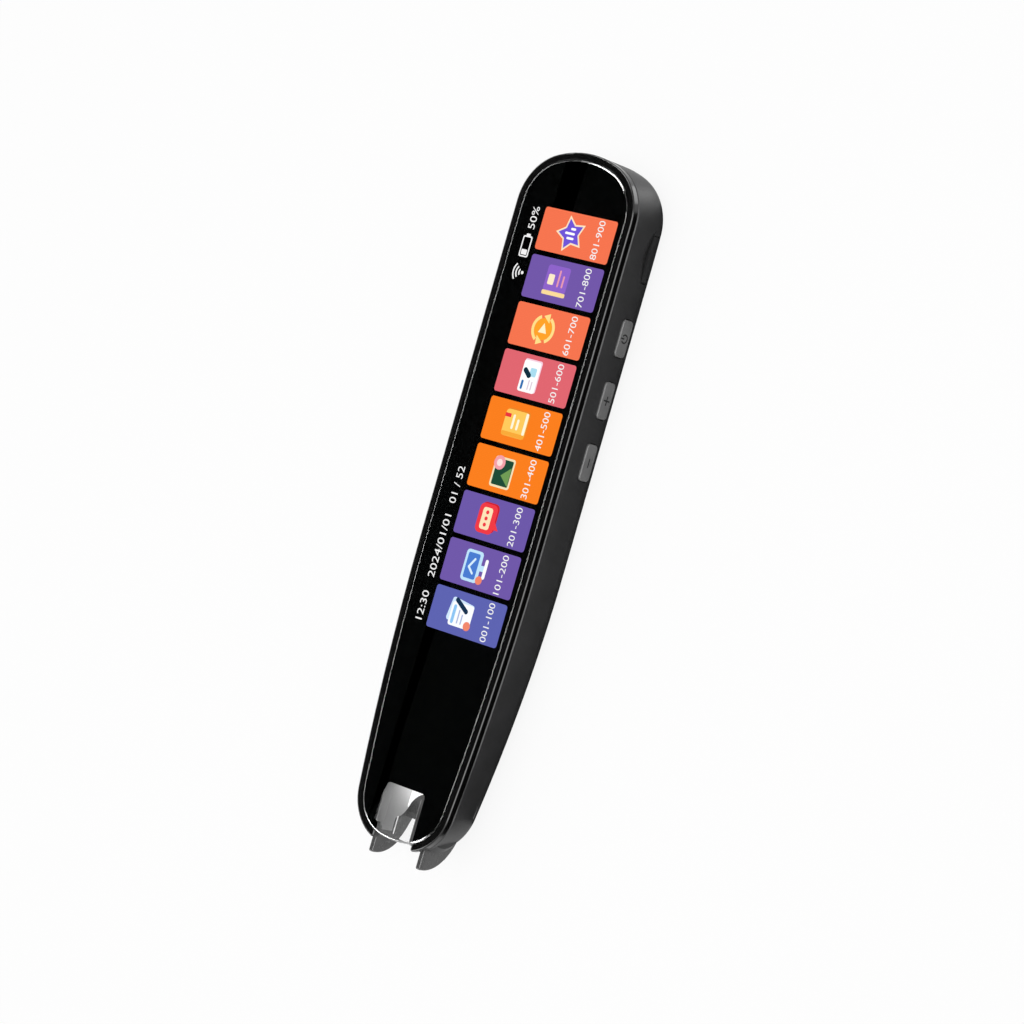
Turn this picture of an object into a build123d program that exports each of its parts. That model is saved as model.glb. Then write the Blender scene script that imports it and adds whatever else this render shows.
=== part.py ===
# Handheld scanning translator in pen form.
#
# Frame: millimetres. The pen lies on its back with the glass up. +Z leaves the glass,
# +Y runs to the rounded top end and -Y to the scanning nose. The keys and the port are
# on +X. The origin is the middle of the pen's length and width, on the flat of its back.

import os
from build123d import *

os.makedirs("parts", exist_ok=True)

# ==== driving dimensions ==============================================================

# ---- glass: its outline drives the plan of the whole pen
glass_half_width = 14.0
glass_top_y = 73.7
glass_nose_y = -71.25
crown_drop = 5.3  # fall of the crown from its middle to the shoulder corner
shoulder_radius = 10.0
taper_start_y = -8.0
nose_half_width = 10.65  # where the tapered side meets the blunt nose
nose_drop = 2.5  # fall of the blunt nose from its middle to that corner
nose_corner_radius = 8.9
glass_thickness = 1.0
glass_edge_radius = 0.6
glass_gap = 0.1  # round the glass, in the frame
glass_stand = 0.15  # height of the glass above the frame

# ---- body
body_height = 13.1
bezel_width = 1.5  # frame that shows round the glass
case_wall = 1.4
back_edge_radius = 3.5
nose_rake = 1.6  # how far the nose wall leans back over its height
nose_tuck = 1.7  # how far the sides of the nose lean in
back_flat_nose_y = -12.0
back_flat_top_y = 56.0
back_nose_radius = 1200.0
back_top_radius = 215.0

# ---- front frame
frame_height = 1.8
frame_edge_radius = 0.35
parting_chamfer = 0.22
shelf_width = 1.6  # ledge that the glass is glued to
skirt_thickness = 0.9  # tongue of the frame, inside the case
skirt_gap = 0.1
skirt_nose_y = -56.0
deck_thickness = 0.8  # plate that carries the display and the board
deck_nose_y = -46.0
nose_gap_margin = 0.2  # the frame stops this far outside the clear window
nose_gap_radius = 0.5

# ---- display
display_half_width = 12.0
display_top_y = 64.5
display_nose_y = -29.5
display_thickness = 1.3
display_corner = 1.5
backplate_thickness = 0.3
backplate_margin = 0.5
display_back_gap = 0.15

# ---- clear window and scanning hood
window_half_width = 5.0
window_length = 11.1  # from the edge of the glass
hood_half_width = 7.2
hood_wall = 1.1
hood_front_drop = 2.45  # hood's front edge, below the top of the glass
hood_tip_y = -75.3
hood_tip_flat = 1.2  # straight end of each tip, below the front edge
hood_tip_radius = 0.4
hood_curve_y = -66.5  # where the curved edge meets the back of the case
hood_back_lift = 1.25  # lowest point of the hood above the rest plane
hood_edge_radius = 0.25
hood_floor_nose_y = -63.2
hood_floor_lift = 3.2
hood_floor_thickness = 0.8
hood_travel = 0.8
hood_side_gap = 0.3
mouth_y = -65.9

cheek_y = -64.6  # round cheeks of the case on both sides of the hood
cheek_z = 7.9
cheek_radius = 6.55
cheek_half_width = 9.4
cheek_bevel = 1.3

ear_front_y = -64.3
ear_length = 1.3
ear_reach = 2.7
ear_height = 4.2
ear_z = 7.2
stop_gap = 0.1
nose_rib_length = 1.2
spring_rib_y = -57.4
spring_wire = 0.3
spring_radius = 1.05
spring_turns = 5

# ---- keys
key_pitch = 13.15
key_row_y = 27.35
key_z = 4.95
key_length = 7.8
key_height = 3.3
key_corner = 0.9
key_proud = 0.35
key_gap = 0.18
key_edge_radius = 0.25
key_flange = 0.55
key_flange_lip = 0.4
key_seat_gap = 0.15
key_travel = 0.3
key_switch_gap = 0.02

switch_length = 3.0
switch_height = 2.4
switch_body = 0.6
plunger_radius = 0.8
plunger_length = 0.35
key_board_thickness = 0.8
key_board_height = 5.2
key_board_margin = 4.5
post_size = 1.8
slot_gap = 0.1

# ---- port and its hinged cover
port_y = 57.4
port_z = 2.95
port_shell_length = 7.5
port_shell_height = 2.5
port_corner = 0.8
port_shell_wall = 0.3
port_shell_depth = 5.6
port_mouth_x = 13.5
port_tongue_length = 4.6
port_tongue_height = 0.6
port_tongue_recess = 1.0
port_gap = 0.12
port_relief = 1.2  # the opening also clears the rounded corner inside the case
port_board_size = (8.0, 10.2, 0.8)

cover_length = 9.9
cover_thickness = 1.0
cover_gap = 0.15
cover_bottom_z = 1.3
cover_top_z = 4.3
knuckle_radius = 0.6
knuckle_sink = 0.05  # below the face of the case
knuckle_bottom_z = 2.85
pin_radius = 0.25
pin_gap = 0.04
pin_seat_gap = 0.02
pin_bottom_z = 2.0
pin_bite = 0.55

scoop_y = 57.95
scoop_half_length = 5.6
scoop_rise = 1.65
scoop_depth = 0.8

# ---- main board
main_board_thickness = 0.8
main_board_half_width = 11.2
main_board_top_y = 64.6
main_board_nose_y = -43.6
main_board_corner = 1.5
standoff = 0.9
standoff_radius = 1.7
board_gap = 0.2
shield_size = (15.0, 22.0, 1.7)
shield_y = -19.0
shield_radius = 0.4
chip_size = (5.5, 7.0, 1.1)
chip_pitch = 7.6
chip_y = -36.2

# ---- screws
boss_radius = 2.1
boss_x = 9.3
boss_top_y = 65.5
boss_mid_y = 1.6
boss_nose_y = -40.0
screw_radius = 0.7
screw_pilot_gap = 0.03
screw_head_radius = 1.3
screw_head_height = 0.6
screw_clearance = 0.2
frame_screw_length = 4.6
board_screw_length = 2.2
board_screw_x = 5.0
board_screw_top_y = 45.0
board_screw_nose_y = -3.5

# ---- battery, speaker and sound
battery_size = (19.0, 38.0, 4.4)
battery_x = -1.6
battery_space = 1.1  # between the ribs of the battery and the bosses
battery_corner = 1.6
battery_gap = 0.2
rib_thickness = 1.0
rib_height = 2.8
speaker_size = (14.0, 11.0, 3.6)
speaker_x = -3.4
speaker_space = 0.8  # between the speaker and the rib of the battery
speaker_corner = 2.0
speaker_gap = 0.1
slot_count = 5
slot_pitch = 1.9
slot_length = 7.0
slot_width = 0.9
mesh_thickness = 0.15
mesh_margin = 1.0
mic_x = 3.6
mic_z = 6.2
mic_radius = 1.5
mic_length = 1.3
mic_face_y = 72.85
mic_hole_radius = 0.5
antenna_size = (0.2, 25.0, 4.4)
antenna_y = 32.0
antenna_z = 6.2

# ---- camera in the back
photo_x = -3.0
photo_y = 66.3
photo_window_radius = 3.0
photo_window_thickness = 0.6
photo_window_lift = 0.55
photo_window_gap = 0.1
photo_hole_radius = 2.3
photo_seat_lift = 1.95
photo_size = 6.4
photo_height = 3.6
photo_lens_radius = 2.0
photo_lens_height = 0.6

# ---- scanning camera, lamps and light guides
scan_camera_gap = 0.15  # under the deck
scan_board_front_y = -54.6
scan_board_thickness = 0.8
scan_board_half_width = 9.6
scan_board_height = 7.4
barrel_radius = 2.9
barrel_gap = 0.3
barrel_recess = 0.2
barrel_length = 5.6
barrel_tip_radius = 1.9
barrel_tip_length = 0.8
camera_block = (8.4, 4.2, 6.0)
cradle_wall = 1.2
cradle_height = 1.8
holder_reach = 1.2
holder_height = 6.2
led_size = (0.8, 0.6, 1.6)
led_gap = 0.3
led_z = 7.2
guide_thickness = 0.6
guide_gap = 0.2
guide_nose_y = -70.2
guide_front_gap = 0.4
guide_lip_z = 6.9
guide_bend_y = -67.4
guide_foot_y = -64.0
guide_foot_z = 3.4
nib_switch_size = (1.2, 1.0, 2.4)
nib_switch_z = 7.4
nib_plunger_length = 0.25
nib_plunger_radius = 0.4
nib_switch_gap = 0.05

# ==== derived levels and places =======================================================

glass_seat_z = body_height - glass_thickness
frame_top_z = body_height - glass_stand
parting_z = frame_top_z - frame_height
display_bottom_z = glass_seat_z - display_thickness
deck_top_z = display_bottom_z - backplate_thickness - display_back_gap
deck_bottom_z = deck_top_z - deck_thickness
board_top_z = deck_bottom_z - standoff
board_bottom_z = board_top_z - main_board_thickness
case_half_width = glass_half_width + bezel_width
wall_inner_x = case_half_width - case_wall
skirt_inset = case_wall - bezel_width + skirt_gap
nose_gap_half = window_half_width + nose_gap_margin
window_top_y = glass_nose_y + window_length

hood_front_z = body_height - hood_front_drop
hood_inner_half = hood_half_width - hood_wall
mouth_half = hood_half_width + hood_side_gap
hood_step_y = mouth_y - hood_travel - hood_side_gap
spring_front_y = ear_front_y + ear_length
spring_x = hood_half_width + ear_reach - spring_radius - spring_wire
nib_plunger_tip_y = scan_board_front_y - nib_switch_size[1] - nib_plunger_length
hood_rear_y = nib_plunger_tip_y - nib_switch_gap - hood_travel
nib_switch_x = -(hood_inner_half + hood_half_width) / 2

flange_inner_x = wall_inner_x - key_seat_gap - key_flange
switch_face_x = flange_inner_x - key_travel - key_switch_gap
key_board_outer_x = switch_face_x - plunger_length - switch_body
key_places = (key_row_y + key_pitch, key_row_y, key_row_y - key_pitch)
key_board_nose_y = key_places[2] - key_length / 2 - key_board_margin
key_board_top_y = key_places[0] + key_length / 2 + key_board_margin

cover_nose_y = port_y - cover_length / 2
cover_end_y = port_y + cover_length / 2
hinge_x = case_half_width - knuckle_radius - knuckle_sink
hinge_y = cover_nose_y + knuckle_radius
lug_end_y = hinge_y + knuckle_radius
pin_top_z = cover_top_z + cover_gap + pin_bite
scoop_arch_radius = (scoop_half_length**2 + scoop_rise**2) / (2 * scoop_rise)
scoop_reach = (scoop_half_length**2 - scoop_depth**2) / (2 * scoop_depth)
scoop_ball_radius = (scoop_arch_radius**2 + scoop_reach**2) ** 0.5

battery_y = boss_mid_y + boss_radius + battery_space + rib_thickness
battery_y += battery_gap + battery_size[1] / 2
speaker_y = battery_y + battery_size[1] / 2 + battery_gap + rib_thickness
speaker_y += speaker_space + speaker_size[1] / 2

scan_z = deck_bottom_z - scan_camera_gap - camera_block[2] / 2
camera_front_y = scan_board_front_y + barrel_recess + barrel_length
guide_outer_x = hood_inner_half - guide_gap
guide_inner_x = guide_outer_x - guide_thickness
guide_top_z = hood_front_z - guide_front_gap
guide_rear_y = scan_board_front_y - led_size[1] - led_gap
guide_floor_z = hood_floor_lift + hood_floor_thickness + guide_gap

boss_rows = (boss_top_y, boss_mid_y, boss_nose_y)
boss_places = [(side * boss_x, y) for y in boss_rows for side in (-1, 1)]
board_screw_rows = (board_screw_top_y, board_screw_nose_y)
board_screw_places = [(side * board_screw_x, y) for y in board_screw_rows for side in (-1, 1)]


# ==== shared forms ====================================================================


def pen_outline(grow, rake=0.0, tuck=0.0):
    """Plan outline of the pen: the glass outline grown by a margin."""
    shoulder = (glass_half_width, glass_top_y - crown_drop)
    taper_start = (glass_half_width, taper_start_y)
    nose_y = glass_nose_y + rake
    nose_corner = (nose_half_width - tuck, nose_y + nose_drop)
    with BuildSketch() as outline:
        with BuildLine():
            TangentArc((0, glass_top_y), shoulder, tangent=(1, 0))
            Line(shoulder, taper_start)
            TangentArc(taper_start, nose_corner, tangent=(0, -1))
            TangentArc((0, nose_y), nose_corner, tangent=(1, 0))
            mirror(about=Plane.YZ)
        make_face()
        fillet(outline.vertices().group_by(Axis.Y)[0], nose_corner_radius)
        fillet(outline.vertices().group_by(Axis.Y)[-1], shoulder_radius)
        if grow:
            offset(amount=grow)
    return outline.sketch


def back_profile(lift):
    """Side profile of the case: flat to rest on, bowed up towards both ends."""
    nose_end_y = glass_nose_y - body_height
    top_end_y = glass_top_y + body_height
    nose_rise = (back_flat_nose_y - nose_end_y) ** 2 / (2 * back_nose_radius)
    top_rise = (top_end_y - back_flat_top_y) ** 2 / (2 * back_top_radius)
    flat_nose = (back_flat_nose_y, lift)
    flat_top = (back_flat_top_y, lift)
    nose_end = (nose_end_y, lift + nose_rise)
    top_end = (top_end_y, lift + top_rise)
    with BuildSketch(Plane.YZ) as profile:
        with BuildLine():
            Line(flat_nose, flat_top)
            TangentArc(flat_nose, nose_end, tangent=(-1, 0))
            TangentArc(flat_top, top_end, tangent=(1, 0))
            Polyline(nose_end, (nose_end_y, body_height), (top_end_y, body_height), top_end)
        make_face()
    return profile.sketch


def case_form(inset):
    """Outer form of the case, or that form drawn inwards by part of its wall."""
    grow = bezel_width - inset
    back_outline = pen_outline(grow, rake=nose_rake, tuck=nose_tuck)
    top_outline = pen_outline(grow)
    profile = back_profile(inset)
    with BuildPart() as form:
        with BuildSketch(Plane.XY):
            add(back_outline)
        with BuildSketch(Plane.XY.offset(parting_z)):
            add(top_outline)
        loft()
        extrude(profile, amount=2 * glass_half_width, both=True, mode=Mode.INTERSECT)
        low_edges = form.edges().filter_by(lambda edge: edge.center().Z < parting_z / 3)
        fillet(low_edges.filter_by(Axis.X, reverse=True), back_edge_radius - inset)
    return form.part


low = (Align.CENTER, Align.CENTER, Align.MIN)
hanging = (Align.CENTER, Align.CENTER, Align.MAX)
inwards = (Align.MIN, Align.MIN, Align.MIN)

outer_form = case_form(0)
inner_form = case_form(case_wall)
rib_limit = case_form(cover_thickness)
pocket_floor = case_form(cover_thickness + cover_gap)

# ==== glass, frame and display ========================================================

# ---- cover glass: rounded over all round its top edge
glass_outline = pen_outline(0)
with BuildPart() as cover_glass:
    with BuildSketch(Plane.XY.offset(glass_seat_z)):
        add(glass_outline)
    extrude(amount=glass_thickness)
    fillet(cover_glass.edges().group_by(Axis.Z)[-1], glass_edge_radius)
cover_glass.part.label = "cover_glass"
export_step(cover_glass.part, "parts/cover_glass.step")

# ---- front frame: ledge for the glass, skirt inside the case, deck under the display
frame_outline = pen_outline(bezel_width)
recess_outline = pen_outline(glass_gap)
ledge_outline = pen_outline(-shelf_width)
skirt_outline = pen_outline(-skirt_inset)
deck_outline = pen_outline(-skirt_inset - skirt_thickness)
with BuildPart() as front_frame:
    with BuildSketch(Plane.XY.offset(parting_z)):
        add(frame_outline)
    extrude(amount=frame_height)
    fillet(front_frame.edges().group_by(Axis.Z)[-1], frame_edge_radius)
    chamfer(front_frame.edges().group_by(Axis.Z)[0], parting_chamfer)
    with BuildSketch(Plane.XY.offset(glass_seat_z)):
        add(recess_outline)
    extrude(amount=glass_thickness, mode=Mode.SUBTRACT)
    with BuildSketch(Plane.XY.offset(parting_z)):
        add(ledge_outline)
    extrude(amount=frame_height, mode=Mode.SUBTRACT)
    with BuildSketch(Plane.XY.offset(deck_bottom_z)):
        add(skirt_outline)
        add(deck_outline, mode=Mode.SUBTRACT)
        with Locations((0, skirt_nose_y)):
            Rectangle(
                2 * case_half_width,
                body_height + glass_half_width,
                align=(Align.CENTER, Align.MAX),
                mode=Mode.SUBTRACT,
            )
    extrude(amount=parting_z - deck_bottom_z)
    with BuildSketch(Plane.XY.offset(deck_bottom_z)):
        add(deck_outline)
        with Locations((0, deck_nose_y)):
            Rectangle(
                2 * case_half_width,
                2 * case_half_width,
                align=(Align.CENTER, Align.MAX),
                mode=Mode.SUBTRACT,
            )
    extrude(amount=deck_thickness)
    with Locations((0, window_top_y, parting_z)):
        Box(
            2 * nose_gap_half,
            window_length + 2 * bezel_width,
            frame_height,
            align=(Align.CENTER, Align.MAX, Align.MIN),
            mode=Mode.SUBTRACT,
        )
    gap_faces = front_frame.faces().filter_by(Axis.X).filter_by(lambda face: face.center().Y < window_top_y)
    fillet(gap_faces.edges().filter_by(Axis.Z).group_by(Axis.Y)[0], nose_gap_radius)
    with Locations(*[(x, y, board_top_z) for x, y in boss_places]):
        Cylinder(boss_radius, standoff, align=low)
    with Locations(*[(x, y, board_top_z) for x, y in board_screw_places]):
        Cylinder(standoff_radius, standoff, align=low)
    with Locations(*[(x, y, deck_top_z - screw_head_height) for x, y in boss_places]):
        Cylinder(
            screw_head_radius + screw_pilot_gap, screw_head_height, align=low, mode=Mode.SUBTRACT
        )
    with Locations(*[(x, y, board_top_z) for x, y in boss_places]):
        Cylinder(
            screw_radius + screw_clearance, deck_thickness + standoff, align=low, mode=Mode.SUBTRACT
        )
    with Locations(*[(x, y, board_top_z) for x, y in board_screw_places]):
        Cylinder(
            screw_radius + screw_pilot_gap,
            board_screw_length - main_board_thickness + screw_pilot_gap,
            align=low,
            mode=Mode.SUBTRACT,
        )
front_frame.part.label = "front_frame"
export_step(front_frame.part, "parts/front_frame.step")

# ---- display, glued under the glass, with its metal pan
display_length = display_top_y - display_nose_y
display_mid_y = (display_top_y + display_nose_y) / 2
with BuildPart() as display_panel:
    with BuildSketch(Plane.XY.offset(display_bottom_z)):
        with Locations((0, display_mid_y)):
            RectangleRounded(2 * display_half_width, display_length, display_corner)
    extrude(amount=display_thickness)
display_panel.part.label = "display_panel"
export_step(display_panel.part, "parts/display_panel.step")

with BuildPart() as display_backplate:
    with BuildSketch(Plane.XY.offset(display_bottom_z - backplate_thickness)):
        with Locations((0, display_mid_y)):
            RectangleRounded(
                2 * (display_half_width - backplate_margin),
                display_length - 2 * backplate_margin,
                display_corner,
            )
    extrude(amount=backplate_thickness)
display_backplate.part.label = "display_backplate"
export_step(display_backplate.part, "parts/display_backplate.step")

# ==== case ============================================================================

# ---- bosses, ribs and posts inside the case, trimmed to stay within its wall
nose_rib_top = ear_z + ear_height / 2
holder_x = scan_board_half_width - holder_reach
battery_rib_y = battery_size[1] / 2 + battery_gap + rib_thickness / 2
battery_rib_x = battery_size[0] / 2 + battery_gap + rib_thickness / 2
with BuildPart() as fittings:
    with Locations(*[(x, y, 0) for x, y in boss_places]):
        Cylinder(boss_radius, board_top_z, align=low)
    for rib_y in (ear_front_y - stop_gap - nose_rib_length, spring_rib_y):
        with Locations((mouth_half, rib_y, 0)):
            Box(wall_inner_x - mouth_half, nose_rib_length, nose_rib_top, align=inwards)
    with Locations((holder_x, scan_board_front_y + scan_board_thickness / 2, 0)):
        Box(
            wall_inner_x - holder_x,
            scan_board_thickness + 2 * rib_thickness,
            holder_height,
            align=(Align.MIN, Align.CENTER, Align.MIN),
        )
    mirror(about=Plane.YZ)
    with Locations((0, camera_front_y, 0)):
        Box(
            camera_block[0] + 2 * cradle_wall,
            camera_block[1],
            scan_z - camera_block[2] / 2 + cradle_height,
            align=(Align.CENTER, Align.MIN, Align.MIN),
        )
    with Locations(*[(battery_x, battery_y + side * battery_rib_y, 0) for side in (-1, 1)]):
        Box(battery_size[0] / 2, rib_thickness, case_wall + rib_height, align=low)
    with Locations(*[(battery_x + side * battery_rib_x, battery_y, 0) for side in (-1, 1)]):
        Box(rib_thickness, battery_size[1] / 2, case_wall + rib_height, align=low)
    post_x = key_board_outer_x - key_board_thickness / 2
    with Locations(*[(post_x, y, 0) for y in (key_board_nose_y, key_board_top_y)]):
        Box(post_size + key_board_thickness, post_size, key_z, align=low)
    with Locations((port_mouth_x - port_shell_depth, port_y, 0)):
        Box(
            port_shell_depth,
            port_shell_length - 2 * port_corner,
            port_z - port_shell_height / 2,
            align=(Align.MIN, Align.CENTER, Align.MIN),
        )
    with Locations((photo_x, photo_y, 0)):
        Box(photo_size, photo_size, photo_seat_lift, align=low)
    add(rib_limit, mode=Mode.INTERSECT)

# ---- pocket of the port cover and its finger-nail scoop
with BuildPart() as cover_pocket:
    with Locations((case_half_width / 2, hinge_y, knuckle_bottom_z - cover_gap)):
        Box(
            case_half_width,
            cover_end_y + cover_gap - hinge_y,
            cover_top_z - knuckle_bottom_z + 2 * cover_gap,
            align=inwards,
        )
    with Locations((case_half_width / 2, lug_end_y, cover_bottom_z - cover_gap)):
        Box(
            case_half_width,
            cover_end_y + cover_gap - lug_end_y,
            knuckle_bottom_z - cover_bottom_z + cover_gap,
            align=inwards,
        )
    add(pocket_floor, mode=Mode.SUBTRACT)
    with Locations((hinge_x, hinge_y, knuckle_bottom_z - cover_gap)):
        Cylinder(
            knuckle_radius + cover_gap, cover_top_z - knuckle_bottom_z + 2 * cover_gap, align=low
        )
    # room for the outer corner of the cover when it stands open
    with Locations((hinge_x, hinge_y - knuckle_radius - cover_gap, knuckle_bottom_z - cover_gap)):
        Box(
            case_half_width,
            knuckle_radius + cover_gap,
            cover_top_z - knuckle_bottom_z + 2 * cover_gap,
            align=inwards,
        )
    with Locations((hinge_x, hinge_y, 0)):
        Cylinder(pin_radius + pin_seat_gap, pin_top_z, align=low)
with BuildPart() as nail_scoop:
    scoop_centre_z = cover_top_z + cover_gap + scoop_rise - scoop_arch_radius
    with Locations((case_half_width + scoop_reach, scoop_y, scoop_centre_z)):
        Sphere(scoop_ball_radius)
    with Locations((case_half_width, scoop_y, cover_top_z)):
        Box(4 * scoop_depth, 2 * scoop_half_length + 1, 2 * scoop_rise, align=low, mode=Mode.INTERSECT)

# ---- disc across the nose: its two bevelled ends are the cheeks beside the hood
with BuildPart() as cheeks:
    with Locations(Plane(origin=(0, cheek_y, cheek_z), z_dir=(1, 0, 0))):
        Cylinder(cheek_radius, 2 * cheek_half_width)
    chamfer(cheeks.edges().filter_by(GeomType.CIRCLE), cheek_bevel)
    with Locations((0, cheek_y, parting_z - parting_chamfer)):
        Box(4 * cheek_half_width, 4 * cheek_radius, 4 * cheek_radius, align=low, mode=Mode.SUBTRACT)

# ---- the shell itself
low_z = -body_height
with BuildPart() as rear_case:
    add(outer_form)
    chamfer(rear_case.edges().group_by(Axis.Z)[-1], parting_chamfer)
    # bevelled cheeks of the nose, then the mouth between them
    add(cheeks.part)
    with Locations((0, mouth_y, low_z)):
        Box(
            2 * mouth_half,
            glass_half_width,
            3 * body_height,
            align=(Align.CENTER, Align.MAX, Align.MIN),
            mode=Mode.SUBTRACT,
        )
    add(inner_form, mode=Mode.SUBTRACT)
    add(fittings.part)
    # slots for the keys
    with BuildSketch(Plane.YZ.offset(glass_half_width - case_wall)):
        with Locations(*[(y, key_z) for y in key_places]):
            RectangleRounded(
                key_length + 2 * key_gap, key_height + 2 * key_gap, key_corner + key_gap
            )
    extrude(amount=2 * case_wall + bezel_width, mode=Mode.SUBTRACT)
    # slot that the key board stands in
    with Locations((key_board_outer_x - key_board_thickness / 2, key_row_y, key_z)):
        Box(
            key_board_thickness + 2 * slot_gap,
            key_board_top_y - key_board_nose_y + 2 * slot_gap,
            key_board_height + 2 * slot_gap,
            mode=Mode.SUBTRACT,
        )
    # slots that the lamp board stands in, and the cradle of the scanning camera
    with Locations((0, scan_board_front_y + scan_board_thickness / 2, scan_z)):
        Box(
            2 * (scan_board_half_width + slot_gap),
            scan_board_thickness + 2 * slot_gap,
            scan_board_height + 2 * slot_gap,
            mode=Mode.SUBTRACT,
        )
    with Locations((0, camera_front_y - slot_gap, scan_z - camera_block[2] / 2)):
        Box(
            camera_block[0] + 2 * slot_gap,
            camera_block[1] + 2 * slot_gap,
            body_height,
            align=(Align.CENTER, Align.MIN, Align.MIN),
            mode=Mode.SUBTRACT,
        )
    # pilot holes of the frame screws
    with Locations(*[(x, y, board_top_z) for x, y in boss_places]):
        Cylinder(
            screw_radius + screw_pilot_gap,
            frame_screw_length - deck_thickness - standoff + screw_head_height + case_wall / 2,
            align=hanging,
            mode=Mode.SUBTRACT,
        )
    # port opening
    with BuildSketch(Plane.YZ.offset(port_mouth_x - port_relief)):
        with Locations((port_y, port_z)):
            RectangleRounded(
                port_shell_length + 2 * port_gap, port_shell_height + 2 * port_gap, port_corner
            )
    extrude(amount=case_half_width, mode=Mode.SUBTRACT)
    # flat seat of the speaker, its slots, and the microphone hole
    with Locations((speaker_x, speaker_y, case_wall)):
        Box(
            speaker_size[0] + 2 * speaker_gap,
            speaker_size[1] + 2 * speaker_gap,
            speaker_size[2],
            align=low,
            mode=Mode.SUBTRACT,
        )
    with Locations((speaker_x, speaker_y, 0)):
        with GridLocations(slot_pitch, 0, slot_count, 1):
            Box(slot_width, slot_length, 3 * case_wall, mode=Mode.SUBTRACT)
    with Locations(Plane(origin=(mic_x, mic_face_y, mic_z), z_dir=(0, 1, 0))):
        Cylinder(mic_hole_radius, 3 * case_wall, align=low, mode=Mode.SUBTRACT)
    # camera window in the back
    with Locations((photo_x, photo_y, 0)):
        Cylinder(photo_hole_radius, body_height / 2, mode=Mode.SUBTRACT)
    with Locations((photo_x, photo_y, photo_window_lift + photo_window_thickness)):
        Cylinder(
            photo_window_radius + photo_window_gap,
            body_height / 2,
            align=hanging,
            mode=Mode.SUBTRACT,
        )
    # pocket of the port cover
    add(cover_pocket.part, mode=Mode.SUBTRACT)
    add(nail_scoop.part, mode=Mode.SUBTRACT)
rear_case.part.label = "rear_case"
export_step(rear_case.part, "parts/rear_case.step")

# ==== scanning nose ===================================================================

# ---- hood: two curved side walls, a floor between them and an ear outside each wall
with BuildPart() as scan_hood:
    with BuildSketch(Plane.YZ.offset(hood_inner_half)):
        with BuildLine():
            tip_z = hood_front_z - hood_tip_flat
            edge = EllipticalCenterArc(
                (hood_curve_y, tip_z), hood_curve_y - hood_tip_y, tip_z - hood_back_lift, 180, arc_size=86
            )
            Polyline(
                edge @ 0,
                (hood_tip_y, hood_front_z),
                (hood_rear_y, hood_front_z),
                (hood_rear_y, hood_floor_lift),
                (hood_step_y, hood_floor_lift),
                (hood_step_y, (edge @ 1).Y),
                edge @ 1,
            )
        hood_wall_face = make_face()
        fillet(hood_wall_face.vertices().sort_by(Axis.X)[:2].sort_by(Axis.Y)[-1], hood_tip_radius)
    extrude(amount=hood_wall)
    nose_edges = scan_hood.edges().filter_by(lambda e: e.center().Y < hood_curve_y - 2)
    fillet(nose_edges.filter_by(Axis.X, reverse=True), hood_edge_radius)
    with Locations((hood_half_width, ear_front_y, ear_z)):
        Box(ear_reach, ear_length, ear_height, align=(Align.MIN, Align.MIN, Align.CENTER))
    mirror(about=Plane.YZ)
    with Locations((0, hood_floor_nose_y, hood_floor_lift)):
        Box(
            2 * hood_inner_half,
            hood_rear_y - hood_floor_nose_y,
            hood_floor_thickness,
            align=(Align.CENTER, Align.MIN, Align.MIN),
        )
scan_hood.part.label = "scan_hood"
export_step(scan_hood.part, "parts/scan_hood.step")

# ---- springs between the ears and the case
with BuildPart() as nib_springs:
    coil_length = spring_rib_y - spring_front_y - spring_wire
    coil_start = (spring_x, spring_front_y + spring_wire / 2, ear_z)
    with BuildLine() as coil:
        Helix(coil_length / spring_turns, coil_length, spring_radius, coil_start, (0, 1, 0))
    with BuildSketch(Plane(origin=coil.line @ 0, z_dir=coil.line % 0)):
        RegularPolygon(spring_wire / 2, 6)
    sweep()
    mirror(about=Plane.YZ)
nib_springs.part.label = "nib_springs"
export_step(nib_springs.part, "parts/nib_springs.step")

# ---- switch that the hood presses, on the lamp board
switch_board_y = scan_board_front_y - nib_switch_size[1]
with BuildPart() as nib_switch:
    with Locations((nib_switch_x, switch_board_y, nib_switch_z)):
        Box(*nib_switch_size, align=(Align.CENTER, Align.MIN, Align.CENTER))
    with Locations(Plane(origin=(nib_switch_x, switch_board_y, nib_switch_z), z_dir=(0, -1, 0))):
        Cylinder(nib_plunger_radius, nib_plunger_length, align=low)
nib_switch.part.label = "nib_switch"
export_step(nib_switch.part, "parts/nib_switch.step")

# ---- lamp board round the lens, with a lamp behind each light guide
with BuildPart() as scan_led_board:
    with Locations((0, scan_board_front_y, scan_z)):
        Box(
            2 * scan_board_half_width,
            scan_board_thickness,
            scan_board_height,
            align=(Align.CENTER, Align.MIN, Align.CENTER),
        )
    with Locations(Plane(origin=(0, scan_board_front_y, scan_z), z_dir=(0, 1, 0))):
        Cylinder(barrel_radius + barrel_gap, 4 * scan_board_thickness, mode=Mode.SUBTRACT)
scan_led_board.part.label = "scan_led_board"
export_step(scan_led_board.part, "parts/scan_led_board.step")

lamp_x = guide_inner_x + guide_thickness / 2
with BuildPart() as scan_leds:
    with Locations(*[(side * lamp_x, scan_board_front_y, led_z) for side in (-1, 1)]):
        Box(*led_size, align=(Align.CENTER, Align.MAX, Align.CENTER))
scan_leds.part.label = "scan_leds"
export_step(scan_leds.part, "parts/scan_leds.step")

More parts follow.
